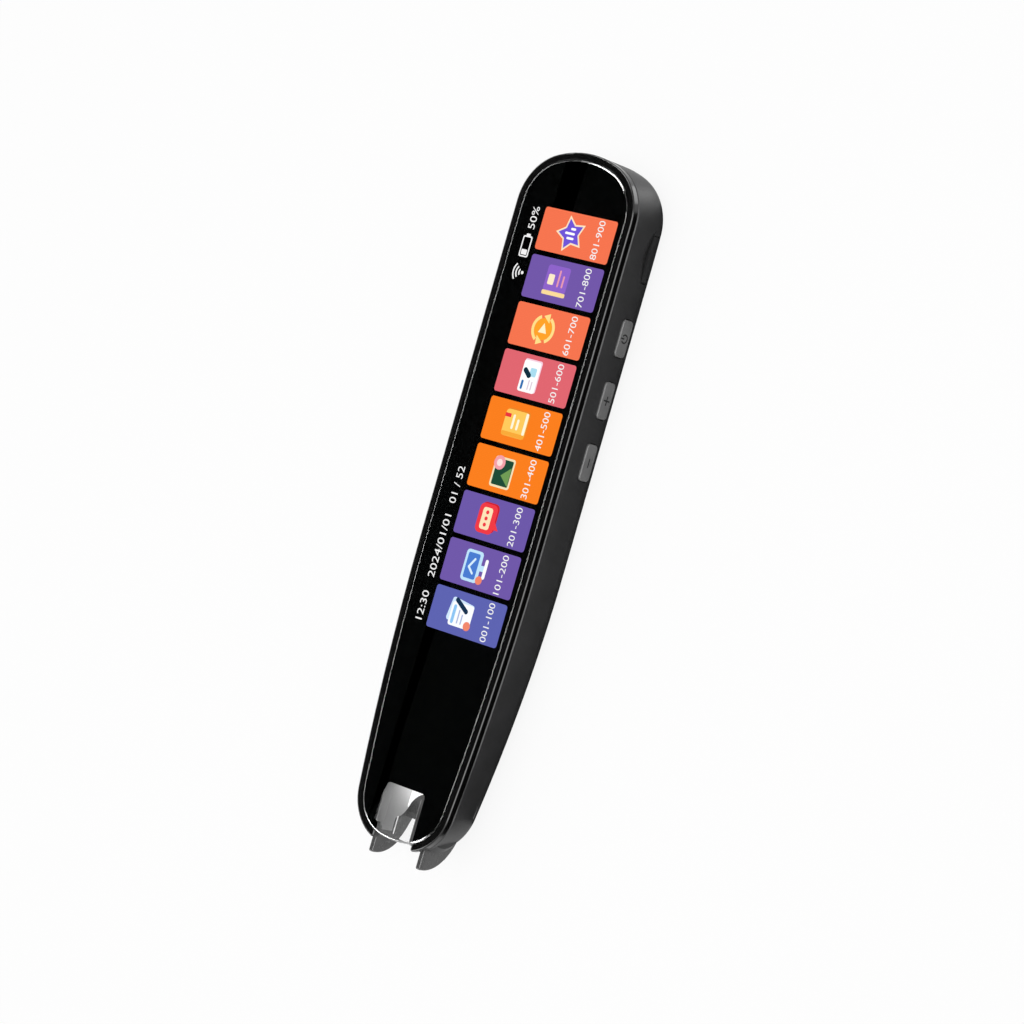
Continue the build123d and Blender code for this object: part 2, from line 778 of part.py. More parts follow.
# ---- frosted light guides along the inside of the hood
with BuildPart() as light_guides:
    with BuildSketch(Plane.YZ.offset(guide_inner_x)):
        with BuildLine():
            Polyline(
                (guide_foot_y, guide_foot_z),
                (hood_floor_nose_y - guide_gap, guide_foot_z),
                (hood_floor_nose_y - guide_gap, guide_floor_z),
                (guide_rear_y, guide_floor_z),
                (guide_rear_y, guide_top_z),
                (guide_nose_y, guide_top_z),
                (guide_nose_y, guide_lip_z),
                (guide_bend_y, guide_lip_z),
            )
            TangentArc((guide_bend_y, guide_lip_z), (guide_foot_y, guide_foot_z), tangent=(0.3, -1))
        make_face()
    extrude(amount=guide_thickness)
    mirror(about=Plane.YZ)
light_guides.part.label = "light_guides"
export_step(light_guides.part, "parts/light_guides.step")

# ---- scanning camera: square body with a stepped lens barrel
with BuildPart() as scan_camera:
    with Locations((0, camera_front_y, scan_z)):
        Box(*camera_block, align=(Align.CENTER, Align.MIN, Align.CENTER))
    with Locations(Plane(origin=(0, camera_front_y, scan_z), z_dir=(0, -1, 0))):
        Cylinder(barrel_radius, barrel_length, align=low)
        Cylinder(barrel_tip_radius, barrel_length + barrel_tip_length, align=low)
scan_camera.part.label = "scan_camera"
export_step(scan_camera.part, "parts/scan_camera.step")

# ==== boards ==========================================================================

# ---- main board, notched round the bosses
with BuildPart() as main_board:
    with BuildSketch(Plane.XY.offset(board_bottom_z)):
        with Locations((0, (main_board_top_y + main_board_nose_y) / 2)):
            RectangleRounded(
                2 * main_board_half_width, main_board_top_y - main_board_nose_y, main_board_corner
            )
        with Locations(*boss_places):
            Circle(boss_radius + board_gap, mode=Mode.SUBTRACT)
        with Locations(*board_screw_places):
            Circle(screw_radius + screw_clearance, mode=Mode.SUBTRACT)
    extrude(amount=main_board_thickness)
main_board.part.label = "main_board"
export_step(main_board.part, "parts/main_board.step")

with BuildPart() as processor_shield:
    with Locations((0, shield_y, board_bottom_z)):
        Box(*shield_size, align=(Align.CENTER, Align.CENTER, Align.MAX))
    fillet(processor_shield.edges().filter_by(Axis.Z), shield_radius)
    fillet(processor_shield.edges().group_by(Axis.Z)[0], shield_radius / 2)
processor_shield.part.label = "processor_shield"
export_step(processor_shield.part, "parts/processor_shield.step")

with BuildPart() as memory_chips:
    with Locations((0, chip_y, board_bottom_z - chip_size[2] / 2)):
        with GridLocations(chip_pitch, 0, 2, 1):
            Box(*chip_size)
memory_chips.part.label = "memory_chips"
export_step(memory_chips.part, "parts/memory_chips.step")

# ---- board and switches behind the keys
with BuildPart() as key_board:
    with Locations((key_board_outer_x, (key_board_nose_y + key_board_top_y) / 2, key_z)):
        Box(
            key_board_thickness,
            key_board_top_y - key_board_nose_y,
            key_board_height,
            align=(Align.MAX, Align.CENTER, Align.CENTER),
        )
key_board.part.label = "key_board"
export_step(key_board.part, "parts/key_board.step")

with BuildPart() as key_switches:
    with Locations(*[(key_board_outer_x, y, key_z) for y in key_places]):
        Box(switch_body, switch_length, switch_height, align=(Align.MIN, Align.CENTER, Align.CENTER))
    for y in key_places:
        with Locations(Plane(origin=(key_board_outer_x, y, key_z), z_dir=(1, 0, 0))):
            Cylinder(plunger_radius, switch_body + plunger_length, align=low)
key_switches.part.label = "key_switches"
export_step(key_switches.part, "parts/key_switches.step")

# ---- keys: cap through the wall, flange behind it
for name, y in zip(("power_button", "volume_up_button", "volume_down_button"), key_places):
    with BuildPart() as key:
        with BuildSketch(Plane.YZ.offset(flange_inner_x)):
            with Locations((y, key_z)):
                RectangleRounded(
                    key_length + 2 * key_flange_lip, key_height + 2 * key_flange_lip, key_corner
                )
        extrude(amount=key_flange)
        with BuildSketch(Plane.YZ.offset(flange_inner_x)):
            with Locations((y, key_z)):
                RectangleRounded(key_length, key_height, key_corner)
        extrude(amount=case_half_width + key_proud - flange_inner_x)
        fillet(key.edges().group_by(Axis.X)[-1], key_edge_radius)
    key.part.label = name
    export_step(key.part, f"parts/{name}.step")

# ==== port ============================================================================

# ---- socket: thin shell with a tongue inside
with BuildPart() as usb_port:
    with BuildSketch(Plane.YZ.offset(port_mouth_x - port_shell_depth)):
        with Locations((port_y, port_z)):
            RectangleRounded(port_shell_length, port_shell_height, port_corner)
    extrude(amount=port_shell_depth)
    with BuildSketch(Plane.YZ.offset(port_mouth_x)):
        with Locations((port_y, port_z)):
            RectangleRounded(
                port_shell_length - 2 * port_shell_wall,
                port_shell_height - 2 * port_shell_wall,
                port_corner - port_shell_wall,
            )
    extrude(amount=port_shell_wall - port_shell_depth, mode=Mode.SUBTRACT)
    with Locations((port_mouth_x - port_tongue_recess, port_y, port_z)):
        Box(
            port_shell_depth - port_tongue_recess,
            port_tongue_length,
            port_tongue_height,
            align=(Align.MAX, Align.CENTER, Align.CENTER),
        )
usb_port.part.label = "usb_port"
export_step(usb_port.part, "parts/usb_port.step")

with BuildPart() as port_board:
    with Locations((port_mouth_x - slot_gap, port_y, port_z + port_shell_height / 2)):
        Box(*port_board_size, align=(Align.MAX, Align.CENTER, Align.MIN))
port_board.part.label = "port_board"
export_step(port_board.part, "parts/port_board.step")

# ---- cover: a flap that follows the case, its knuckle above the lug of the case
with BuildPart() as port_cover:
    with Locations((case_half_width / 2, hinge_y, knuckle_bottom_z)):
        Box(case_half_width, cover_end_y - hinge_y, cover_top_z - knuckle_bottom_z, align=inwards)
    with Locations((case_half_width / 2, lug_end_y + cover_gap, cover_bottom_z)):
        Box(
            case_half_width,
            cover_end_y - lug_end_y - cover_gap,
            knuckle_bottom_z - cover_bottom_z,
            align=inwards,
        )
    add(outer_form, mode=Mode.INTERSECT)
    add(rib_limit, mode=Mode.SUBTRACT)
    with Locations((hinge_x, hinge_y, knuckle_bottom_z)):
        Cylinder(knuckle_radius, cover_top_z - knuckle_bottom_z, align=low)
    with Locations((hinge_x, hinge_y, 0)):
        Cylinder(pin_radius + pin_gap, body_height, align=low, mode=Mode.SUBTRACT)
port_cover.part.label = "port_cover"
export_step(port_cover.part, "parts/port_cover.step")

with BuildPart() as port_cover_pin:
    with Locations((hinge_x, hinge_y, pin_bottom_z)):
        Cylinder(pin_radius, pin_top_z - pin_bottom_z, align=low)
port_cover_pin.part.label = "port_cover_pin"
export_step(port_cover_pin.part, "parts/port_cover_pin.step")

# ==== battery and sound ===============================================================

with BuildPart() as battery:
    with Locations((battery_x, battery_y, case_wall + battery_gap)):
        Box(*battery_size, align=low)
    fillet(battery.edges().filter_by(Axis.Y), battery_corner)
battery.part.label = "battery"
export_step(battery.part, "parts/battery.step")

with BuildPart() as speaker_mesh:
    with Locations((speaker_x, speaker_y, case_wall)):
        Box(
            speaker_size[0] - mesh_margin,
            speaker_size[1] - 2 * mesh_margin,
            mesh_thickness,
            align=low,
        )
speaker_mesh.part.label = "speaker_mesh"
export_step(speaker_mesh.part, "parts/speaker_mesh.step")

with BuildPart() as speaker:
    with Locations((speaker_x, speaker_y, case_wall + mesh_thickness)):
        Box(*speaker_size, align=low)
    fillet(speaker.edges().filter_by(Axis.Z), speaker_corner)
speaker.part.label = "speaker"
export_step(speaker.part, "parts/speaker.step")

with BuildPart() as microphone:
    with Locations(Plane(origin=(mic_x, mic_face_y, mic_z), z_dir=(0, -1, 0))):
        Cylinder(mic_radius, mic_length, align=low)
microphone.part.label = "microphone"
export_step(microphone.part, "parts/microphone.step")

with BuildPart() as wifi_antenna:
    with Locations((-wall_inner_x, antenna_y, antenna_z)):
        Box(*antenna_size, align=(Align.MIN, Align.CENTER, Align.CENTER))
wifi_antenna.part.label = "wifi_antenna"
export_step(wifi_antenna.part, "parts/wifi_antenna.step")

# ==== camera in the back ==============================================================

with BuildPart() as photo_camera:
    with Locations((photo_x, photo_y, photo_seat_lift)):
        Box(photo_size, photo_size, photo_height, align=low)
        Cylinder(
            photo_lens_radius,
            photo_lens_height,
            align=hanging,
        )
photo_camera.part.label = "photo_camera"
export_step(photo_camera.part, "parts/photo_camera.step")

with BuildPart() as photo_camera_window:
    with Locations((photo_x, photo_y, photo_window_lift)):
        Cylinder(photo_window_radius, photo_window_thickness, align=low)
photo_camera_window.part.label = "photo_camera_window"
export_step(photo_camera_window.part, "parts/photo_camera_window.step")

# ==== screws ==========================================================================

# ---- frame screws: heads sunk in the deck, threads in the bosses of the case
with BuildPart() as frame_screws:
    with Locations(*[(x, y, deck_top_z) for x, y in boss_places]):
        Cylinder(screw_head_radius, screw_head_height, align=hanging)
        Cylinder(screw_radius, screw_head_height + frame_screw_length, align=hanging)
frame_screws.part.label = "frame_screws"
export_step(frame_screws.part, "parts/frame_screws.step")

# ---- board screws: heads under the main board, threads in the deck
with BuildPart() as board_screws:
    with Locations(*[(x, y, board_bottom_z) for x, y in board_screw_places]):
        Cylinder(screw_head_radius, screw_head_height, align=hanging)
        Cylinder(screw_radius, board_screw_length, align=low)
board_screws.part.label = "board_screws"
export_step(board_screws.part, "parts/board_screws.step")
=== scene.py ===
"""Looks of the handheld scanning translator: finishes, screen print, screen picture and studio.

Metres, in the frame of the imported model. The glass faces +Z, the rounded top end +Y, the
scanning nose -Y, and the keys +X. Writing on the screen runs along +Y with its head to -X.
"""

import math

import bmesh
import bpy
from mathutils import Matrix, Vector


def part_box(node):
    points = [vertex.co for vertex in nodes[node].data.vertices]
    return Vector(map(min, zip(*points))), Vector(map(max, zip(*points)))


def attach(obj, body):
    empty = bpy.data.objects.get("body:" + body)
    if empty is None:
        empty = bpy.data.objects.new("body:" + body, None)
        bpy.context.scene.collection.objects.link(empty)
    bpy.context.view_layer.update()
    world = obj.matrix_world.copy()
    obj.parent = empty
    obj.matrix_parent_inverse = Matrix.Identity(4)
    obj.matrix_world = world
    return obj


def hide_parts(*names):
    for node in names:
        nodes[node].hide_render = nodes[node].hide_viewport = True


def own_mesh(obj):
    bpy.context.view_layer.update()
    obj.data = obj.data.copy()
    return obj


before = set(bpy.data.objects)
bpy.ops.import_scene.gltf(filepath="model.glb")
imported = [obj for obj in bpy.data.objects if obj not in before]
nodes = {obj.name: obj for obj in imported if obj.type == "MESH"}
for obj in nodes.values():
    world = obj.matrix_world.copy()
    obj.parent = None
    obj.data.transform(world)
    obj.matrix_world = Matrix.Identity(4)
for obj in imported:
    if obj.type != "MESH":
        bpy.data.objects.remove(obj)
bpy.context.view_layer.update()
MM = 0.001

# ==== case and port cover =====================
# Rear shell moulded in black ABS with a fine spark-eroded texture, satin to the touch.
# The port cover is moulded in the same tool and follows the wall that it closes.

CASE_COLOUR = "222223"
CASE_WORN = "2a2a2b"
CASE_GRAIN = 0.22 * MM  # a spark-eroded grain is about a fifth of this, too fine to show
PATCH_SHARE = 0.04  # width of a grain over the width of a patch of one tone
TONES_START, TONES_END = 0.35, 0.7  # stretch of the noise over which the tones change


def linear(code):
    """sRGB hex code as a linear colour."""
    parts = [int(code[i : i + 2], 16) / 255 for i in (0, 2, 4)]
    return [c / 12.92 if c < 0.04045 else ((c + 0.055) / 1.055) ** 2.4 for c in parts] + [1.0]


def add_node(tree, kind, inputs=None, **settings):
    """Adds a node, sets its properties, and sets or links its inputs."""
    made = tree.nodes.new(kind)
    for name, value in settings.items():
        setattr(made, name, value)
    for name, value in (inputs or {}).items():
        if isinstance(value, bpy.types.NodeSocket):
            tree.links.new(value, made.inputs[name])
        else:
            made.inputs[name].default_value = value
    return made


def start_material(name, **shader):
    """A material with one Principled shader; returns it, its tree, shader and place socket."""
    made = bpy.data.materials.new(name)
    made.use_nodes = True
    tree = made.node_tree
    tree.nodes.clear()
    inputs = {socket.replace("_", " "): value for socket, value in shader.items()}
    surface = add_node(tree, "ShaderNodeBsdfPrincipled", inputs)
    add_node(tree, "ShaderNodeOutputMaterial", {"Surface": surface.outputs[0]})
    place = add_node(tree, "ShaderNodeTexCoord").outputs["Object"]
    return made, tree, surface, place


def grainy_relief(tree, surface, place, grain, bump):
    """A fine grain as a bump; returns its pattern."""
    pattern = {"Vector": place, "Scale": 1 / grain, "Detail": 2.0}
    grains = add_node(tree, "ShaderNodeTexNoise", pattern)
    depth = {"Height": grains.outputs["Fac"], "Strength": 0.5, "Distance": bump}
    relief = add_node(tree, "ShaderNodeBump", depth)
    tree.links.new(relief.outputs["Normal"], surface.inputs["Normal"])
    return grains.outputs["Fac"]


def speckle(tree, surface, place, grain, dark, pale, bump):
    """Moulded or coated skin: patchy colour in two tones over a grainy relief."""
    pattern = {"Vector": place, "Scale": PATCH_SHARE / grain, "Detail": 3.0}
    patches = add_node(tree, "ShaderNodeTexNoise", pattern)
    tones = add_node(tree, "ShaderNodeValToRGB", {"Fac": patches.outputs["Fac"]})
    tones.color_ramp.elements[0].position = TONES_START
    tones.color_ramp.elements[0].color = linear(dark)
    tones.color_ramp.elements[1].position = TONES_END
    tones.color_ramp.elements[1].color = linear(pale)
    tree.links.new(tones.outputs["Color"], surface.inputs["Base Color"])
    return grainy_relief(tree, surface, place, grain, bump)


def wear_roughness(tree, surface, driver, low, high):
    """Roughness that follows a pattern between two values."""
    span = {"Value": driver, "To Min": low, "To Max": high}
    spread = add_node(tree, "ShaderNodeMapRange", span)
    tree.links.new(spread.outputs["Result"], surface.inputs["Roughness"])


def dress(material, *names):
    """Gives CAD nodes their finish."""
    for name in names:
        mesh = nodes[name].data
        mesh.materials.clear()
        mesh.materials.append(material)


# Satin ABS: a soft, broad sheen, with no clear reflection.
case_abs, tree, surface, place = start_material("satin_black_abs", IOR=1.5)
grains = speckle(tree, surface, place, CASE_GRAIN, CASE_COLOUR, CASE_WORN, bump=0.012 * MM)
wear_roughness(tree, surface, grains, low=0.42, high=0.56)
dress(case_abs, "rear_case", "port_cover")

# ==== front frame =============================
# Bright-moulded black ABS ring that holds the glass, clamped to the case by six screws.

# Bright ABS: near black, a soft-edged gloss with faint flow waves from the mould.
frame_abs, tree, surface, place = start_material("polished_black_abs", IOR=1.52)
flow = speckle(tree, surface, place, grain=1.6 * MM, dark="050505", pale="080808", bump=0.002 * MM)
wear_roughness(tree, surface, flow, low=0.14, high=0.22)
dress(frame_abs, "front_frame")

# ==== cover glass =============================
# One sheet of toughened glass, glued to the ledge of the frame. Its top edge is ground
# and polished to a soft round all the way, and catches the light as thin bright lines.

GLASS_EDGE_WIDTH = 0.75 * MM
GLASS_EDGE_DROP = 0.5 * MM
GLASS_SEAM = 0.05 * MM  # small bevel under the sheet, and the flat strip inside the round
EDGE_STEPS = 10
POLISH_TOP_Y = 69.0 * MM  # the mirror-bright edge lies beyond these at the top end
POLISH_TOP_X = -0.8 * MM
POLISH_NOSE_Y = -67.6 * MM  # and beyond this round the nose
UPRIGHT_SLOPE = 0.8  # faces whose normal rises less than this are the upright side
LEVEL_SLOPE = 0.99  # faces whose normal rises more than this are the flat top
SHARP_ANGLE = 35  # degrees between faces from which an edge stays sharp
GREASE_SIZE = 14 * MM
RIM_REACH = 0.01 * MM  # how near to the underside a corner counts as part of its rim
CLEAR = {"IOR": 1.5, "Transmission_Weight": 1.0, "Base_Color": (1, 1, 1, 1)}

glass_low, glass_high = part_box("cover_glass")


def glass_ring(inset):
    """Plan outline of the glass, drawn inwards; anticlockwise from the top end."""
    skin = nodes["cover_glass"].data.vertices
    rim_z = glass_low.z + RIM_REACH
    rim = {(round(v.co.x, 7), round(v.co.y, 7)) for v in skin if v.co.z < rim_z}
    rim = [Vector(corner) for corner in sorted(rim, key=lambda c: math.atan2(c[0], -c[1]))]
    ring = []
    for index, corner in enumerate(rim):
        before = (corner - rim[index - 1]).normalized()
        after = (rim[(index + 1) % len(rim)] - corner).normalized()
        along = (before + after).normalized()
        ring.append(corner - inset * Vector((along.y, -along.x)))
    return ring


def grease(tree, surface, place):
    """A breath of finger grease that dulls the mirror gloss in places."""
    smears = add_node(tree, "ShaderNodeTexNoise", {"Vector": place, "Scale": 1 / GREASE_SIZE})
    wear_roughness(tree, surface, smears.outputs["Fac"], low=0.0, high=0.04)


def add_object(name, data):
    """Adds an object to the scene."""
    made = bpy.data.objects.new(name, data)
    bpy.context.scene.collection.objects.link(made)
    return made


def smooth_mesh(name, form, material):
    """Turns a closed bmesh into a shaded object with one material."""
    bmesh.ops.recalc_face_normals(form, faces=form.faces)
    mesh = bpy.data.meshes.new(name)
    form.to_mesh(mesh)
    form.free()
    mesh.shade_smooth()
    mesh.set_sharp_from_angle(angle=math.radians(SHARP_ANGLE))
    mesh.materials.append(material)
    return add_object(name, mesh)


# Clear glass: mirror-smooth, so that the eye sees the screen and the studio in one.
clear_glass, tree, surface, place = start_material("toughened_clear_glass", **CLEAR)
grease(tree, surface, place)

levels = [(GLASS_SEAM, glass_low.z), (0.0, glass_low.z + GLASS_SEAM)]
for step in range(EDGE_STEPS + 1):
    turn = math.pi / 2 * step / EDGE_STEPS
    level = glass_high.z - GLASS_EDGE_DROP * (1 - math.sin(turn))
    levels.append((GLASS_EDGE_WIDTH * (1 - math.cos(turn)), level))
levels.append((GLASS_EDGE_WIDTH + GLASS_SEAM, glass_high.z))
form = bmesh.new()
rings = [[form.verts.new((x, y, z)) for x, y in glass_ring(inset)] for inset, z in levels]
for lower, upper in zip(rings, rings[1:]):
    for index in range(len(lower)):
        form.faces.new((lower[index - 1], lower[index], upper[index], upper[index - 1]))
form.faces.new(rings[0])
form.faces.new(rings[-1])
glass_sheet = smooth_mesh("glass_sheet", form, clear_glass)

# Ground glass: the upright side is left matt, and carries a painted glow that lights the edge line.
painted_glow_glass, tree, surface, place = start_material(
    "glass_side_painted_glow",
    IOR=1.5,
    Roughness=0.5,
    # painted glow: the side gives off light though it is no lamp
    Emission_Strength=0.15,
    Emission_Color=linear("f4f8f8"),
)
speckle(tree, surface, place, grain=0.2 * MM, dark="5a5c5c", pale="666868", bump=0.004 * MM)
glass_sheet.data.materials.append(painted_glow_glass)
round_low_z = glass_high.z - GLASS_EDGE_DROP
for face in glass_sheet.data.polygons:
    if face.center.z < round_low_z and abs(face.normal.z) < UPRIGHT_SLOPE:
        face.material_index = 1

# Polished glass of the round edge at the two ends, where it bends most: a strong clear coat
# makes it mirror far more than bare glass, so that the eye sees a white arc at each end.
polished_glass, tree, surface, place = start_material(
    "flame_polished_glass", Coat_Weight=1.0, Coat_IOR=2.5, **CLEAR
)
grease(tree, surface, place)
glass_sheet.data.materials.append(polished_glass)
for face in glass_sheet.data.polygons:
    at_top = face.center.y > POLISH_TOP_Y and face.center.x > POLISH_TOP_X
    at_end = at_top or face.center.y < POLISH_NOSE_Y
    if at_end and face.center.z > round_low_z and face.normal.z < LEVEL_SLOPE:
        face.material_index = 2
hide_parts("cover_glass")
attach(glass_sheet, "body")

# ==== black print and window ==================
# Ceramic ink printed on the underside of the glass. It leaves a window over the scanning
# nose, open to the edge, with a short aiming line down its middle.

PRINT_LIFT = 0.015 * MM  # into the glass, so that the ink and the glass don't share a face
PRINT_MARGIN = 0.1 * MM
INK_STEP = 0.006 * MM
WINDOW_LEFT = -5.7 * MM
WINDOW_RIGHT = 5.0 * MM
WINDOW_LENGTH = 11.1 * MM
WINDOW_CORNER = 0.9 * MM
SEAL_WIDTH = 0.75 * MM
SEAL_LINE = 0.14 * MM
INK_CORNER = 0.1 * MM
AIM_X = -0.42 * MM
AIM_WIDTH = 0.3 * MM
AIM_START = 5.05 * MM  # from the edge of the glass
AIM_END = 1.25 * MM

print_z = glass_low.z + PRINT_LIFT
window_top_y = glass_low.y + WINDOW_LENGTH


def arc_points(centre, radius, start, end, steps):
    """Points of an arc between two angles in degrees."""
    angles = [math.radians(start + (end - start) * i / steps) for i in range(steps + 1)]
    return [(centre[0] + radius * math.cos(a), centre[1] + radius * math.sin(a)) for a in angles]


def rounded_box(centre, size, radius, steps=6):
    """Outline of a rectangle with round corners."""
    x, y = size[0] / 2 - radius, size[1] / 2 - radius
    outline = []
    for side_x, side_y, start in ((x, y, 0), (-x, y, 90), (-x, -y, 180), (x, -y, 270)):
        corner = (centre[0] + side_x, centre[1] + side_y)
        outline += arc_points(corner, radius, start, start + 90, steps)
    return outline


def flat_piece(name, sheets, material, turn=None):
    """A flat piece of (outline, height) or (outline, height, colour) sheets, put in place."""
    mesh = bpy.data.meshes.new(name)
    form = bmesh.new()
    paint = form.loops.layers.float_color.new("paint")
    for outline, height, *colour in sheets:
        face = form.faces.new([form.verts.new((x, y, height)) for x, y in outline])
        face.normal_update()
        if face.normal.z < 0:
            face.normal_flip()
        for corner in face.loops:
            corner[paint] = linear(colour[0] if colour else "ffffff")
    form.to_mesh(mesh)
    form.free()
    if turn:
        mesh.transform(turn)
    mesh.materials.append(material)
    return add_object(name, mesh)


# Fired ceramic ink: a deep flat black with a barely visible screen-print mottle.
black_ink, tree, surface, place = start_material(
    "black_ceramic_ink", Roughness=0.6, Specular_IOR_Level=0.0
)
speckle(tree, surface, place, grain=0.1 * MM, dark="060707", pale="080909", bump=0.0005 * MM)

corner = WINDOW_CORNER
rim = glass_ring(PRINT_MARGIN)
left = [c for c in rim if c.x <= 0 and (c.y > window_top_y or c.x < WINDOW_LEFT)]
right = [c for c in rim if c.x > 0 and (c.y > window_top_y or c.x > WINDOW_RIGHT)]
notch = [(WINDOW_LEFT, left[-1].y)]
notch += arc_points((WINDOW_LEFT + corner, window_top_y - corner), corner, 180, 90, 6)
notch += arc_points((WINDOW_RIGHT - corner, window_top_y - corner), corner, 90, 0, 6)
notch += [(WINDOW_RIGHT, right[0].y)]
screen_print = flat_piece("screen_print", [(left + notch + right, print_z)], black_ink)
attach(screen_print, "body")

# Translucent grey ink: a smoked strip that seals the window's key side against stray light.
smoke_ink, tree, surface, place = start_material("smoked_grey_ink", Roughness=0.5)
speckle(tree, surface, place, grain=0.15 * MM, dark="3c3c3c", pale="505050", bump=0.001 * MM)
seal_y = (window_top_y - corner + glass_low.y) / 2
seal_length = WINDOW_LENGTH - 1.6 * corner  # clear of the window's round corner
seal_size = (SEAL_WIDTH, seal_length)
seal = rounded_box((WINDOW_RIGHT - SEAL_WIDTH / 2, seal_y), seal_size, INK_CORNER)
window_seal = flat_piece("window_seal", [(seal, print_z)], smoke_ink)
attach(window_seal, "body")

# White ink: a crisp line that shows the reader where to start.
white_ink, tree, surface, place = start_material("white_ink", Roughness=0.5)
speckle(tree, surface, place, grain=0.15 * MM, dark="e6e6e6", pale="f4f4f4", bump=0.001 * MM)
aim_y = glass_low.y + (AIM_START + AIM_END) / 2
aim = rounded_box((AIM_X, aim_y), (AIM_WIDTH, AIM_START - AIM_END), INK_CORNER)
aiming_line = flat_piece("aiming_line", [(aim, print_z)], white_ink)
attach(aiming_line, "body")

# Pale grey ink: a hairline that marks the inner edge of the seal strip.
grey_ink, tree, surface, place = start_material("pale_grey_ink", Roughness=0.5)
speckle(tree, surface, place, grain=0.15 * MM, dark="7a7a7a", pale="8c8c8c", bump=0.001 * MM)
trim_size = (SEAL_LINE, seal_length)
trim = rounded_box((WINDOW_RIGHT - SEAL_WIDTH, seal_y), trim_size, SEAL_LINE / 3)
seal_line = flat_piece("seal_line", [(trim, print_z + INK_STEP)], grey_ink)
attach(seal_line, "body")

# ==== screen picture: tiles ===================
# What the lit display shows behind the glass: a row of nine coloured tiles.

TILE_LENGTH = 19.5 * MM  # along X
TILE_WIDTH = 9.05 * MM
TILE_PITCH = 10.12 * MM
TILE_CORNER = 0.6 * MM
TILE_COUNT = 9
TILE_X = 2.25 * MM
FIRST_TILE_Y = -22.7 * MM
TILE_COLOURS = (
    "5d63b0", "6f58a8", "6c58a8", "f97e1f", "f97e1f", "df6670", "f4744f", "7157a8", "f4744f",
)  # fmt: skip
SCREEN_GLOW = 1.1  # makes up for what the glass and the pixel grid take away
PIXEL = 0.35 * MM  # real pixels are a third of this, drawn coarser so that they show
PIXEL_DIM = 0.96  # brightness between two rows of pixels
WAVE_SCALE = math.pi / 10  # over a length, gives a wave texture that repeats after it


def lit_screen(name):
    """A material that glows as a display does, with a faint grid of pixels over its colour."""
    black = {"Base_Color": (0, 0, 0, 1), "Roughness": 1.0, "Specular_IOR_Level": 0.0}
    made, tree, surface, place = start_material(name, Emission_Strength=SCREEN_GLOW, **black)
    bands = {"Vector": place, "Scale": WAVE_SCALE / PIXEL}
    rows = add_node(tree, "ShaderNodeTexWave", bands, bands_direction="Y")
    span = {"Value": rows.outputs["Fac"], "To Min": PIXEL_DIM, "To Max": 1.0}
    veil = add_node(tree, "ShaderNodeMapRange", span)
    return made, tree, surface, place, veil.outputs["Result"]


def tint(tree, surface, colour, veil):
    """Sends a colour, dimmed by the pixel grid, to the glow."""
    # A Mix node's colours are its inputs 6 and 7, and its output 2.
    shade = add_node(
        tree, "ShaderNodeMix", {"Factor": 1.0, 6: colour}, data_type="RGBA", blend_type="MULTIPLY"
    )
    tree.links.new(veil, shade.inputs[7])
    tree.links.new(shade.outputs[2], surface.inputs["Emission Color"])


# Lit tiles: flat, even colour from behind, one tone for each tile.
tile_light, tree, surface, place, veil = lit_screen("lit_screen_tiles")
axes = add_node(tree, "ShaderNodeSeparateXYZ", {"Vector": place})
first_edge = FIRST_TILE_Y - TILE_PITCH / 2
last_edge = first_edge + TILE_COUNT * TILE_PITCH
span = {"Value": axes.outputs["Y"], "From Min": first_edge, "From Max": last_edge}
along = add_node(tree, "ShaderNodeMapRange", span)
row = add_node(tree, "ShaderNodeValToRGB", {"Fac": along.outputs["Result"]})
row.color_ramp.interpolation = "CONSTANT"
for index, code in enumerate(TILE_COLOURS):
    stops = row.color_ramp.elements
    stop = stops[index] if index < 2 else stops.new(index / TILE_COUNT)
    stop.position = index / TILE_COUNT
    stop.color = linear(code)
tint(tree, surface, row.outputs["Color"], veil)

# A rounded plate repeated along the screen.
plate_row = bpy.data.node_groups.new("plate_row", "GeometryNodeTree")
for kind, names in (
    ("NodeSocketFloat", ("Length", "Width", "Corner")),
    ("NodeSocketInt", ("Count",)),
    ("NodeSocketVector", ("Pitch", "Start")),
    ("NodeSocketMaterial", ("Material",)),
):
    for name in names:
        plate_row.interface.new_socket(name, in_out="INPUT", socket_type=kind)
plate_row.interface.new_socket("Plates", in_out="OUTPUT", socket_type="NodeSocketGeometry")
given = add_node(plate_row, "NodeGroupInput").outputs
sides = {"Width": given["Length"], "Height": given["Width"]}
outline = add_node(plate_row, "GeometryNodeCurvePrimitiveQuadrilateral", sides)
corners = {"Curve": outline.outputs[0], "Radius": given["Corner"], "Count": 5}
rounded = add_node(plate_row, "GeometryNodeFilletCurve", corners, mode="POLY")
plate = add_node(plate_row, "GeometryNodeFillCurve", {"Curve": rounded.outputs[0]}, mode="NGONS")
line = {"Count": given["Count"], "Start Location": given["Start"], "Offset": given["Pitch"]}
spots = add_node(plate_row, "GeometryNodeMeshLine", line)
pair = {"Points": spots.outputs[0], "Instance": plate.outputs[0]}
copies = add_node(plate_row, "GeometryNodeInstanceOnPoints", pair)
solid = add_node(plate_row, "GeometryNodeRealizeInstances", {"Geometry": copies.outputs[0]})
pair = {"Geometry": solid.outputs[0], "Material": given["Material"]}
inked = add_node(plate_row, "GeometryNodeSetMaterial", pair)
add_node(plate_row, "NodeGroupOutput", {"Plates": inked.outputs[0]})


def keep_mesh(name, host):
    """Plain mesh of what a helper object shows."""
    shown = host.evaluated_get(bpy.context.evaluated_depsgraph_get())
    mesh = bpy.data.meshes.new_from_object(shown)
    mesh.name = name
    bpy.data.objects.remove(host)
    return mesh


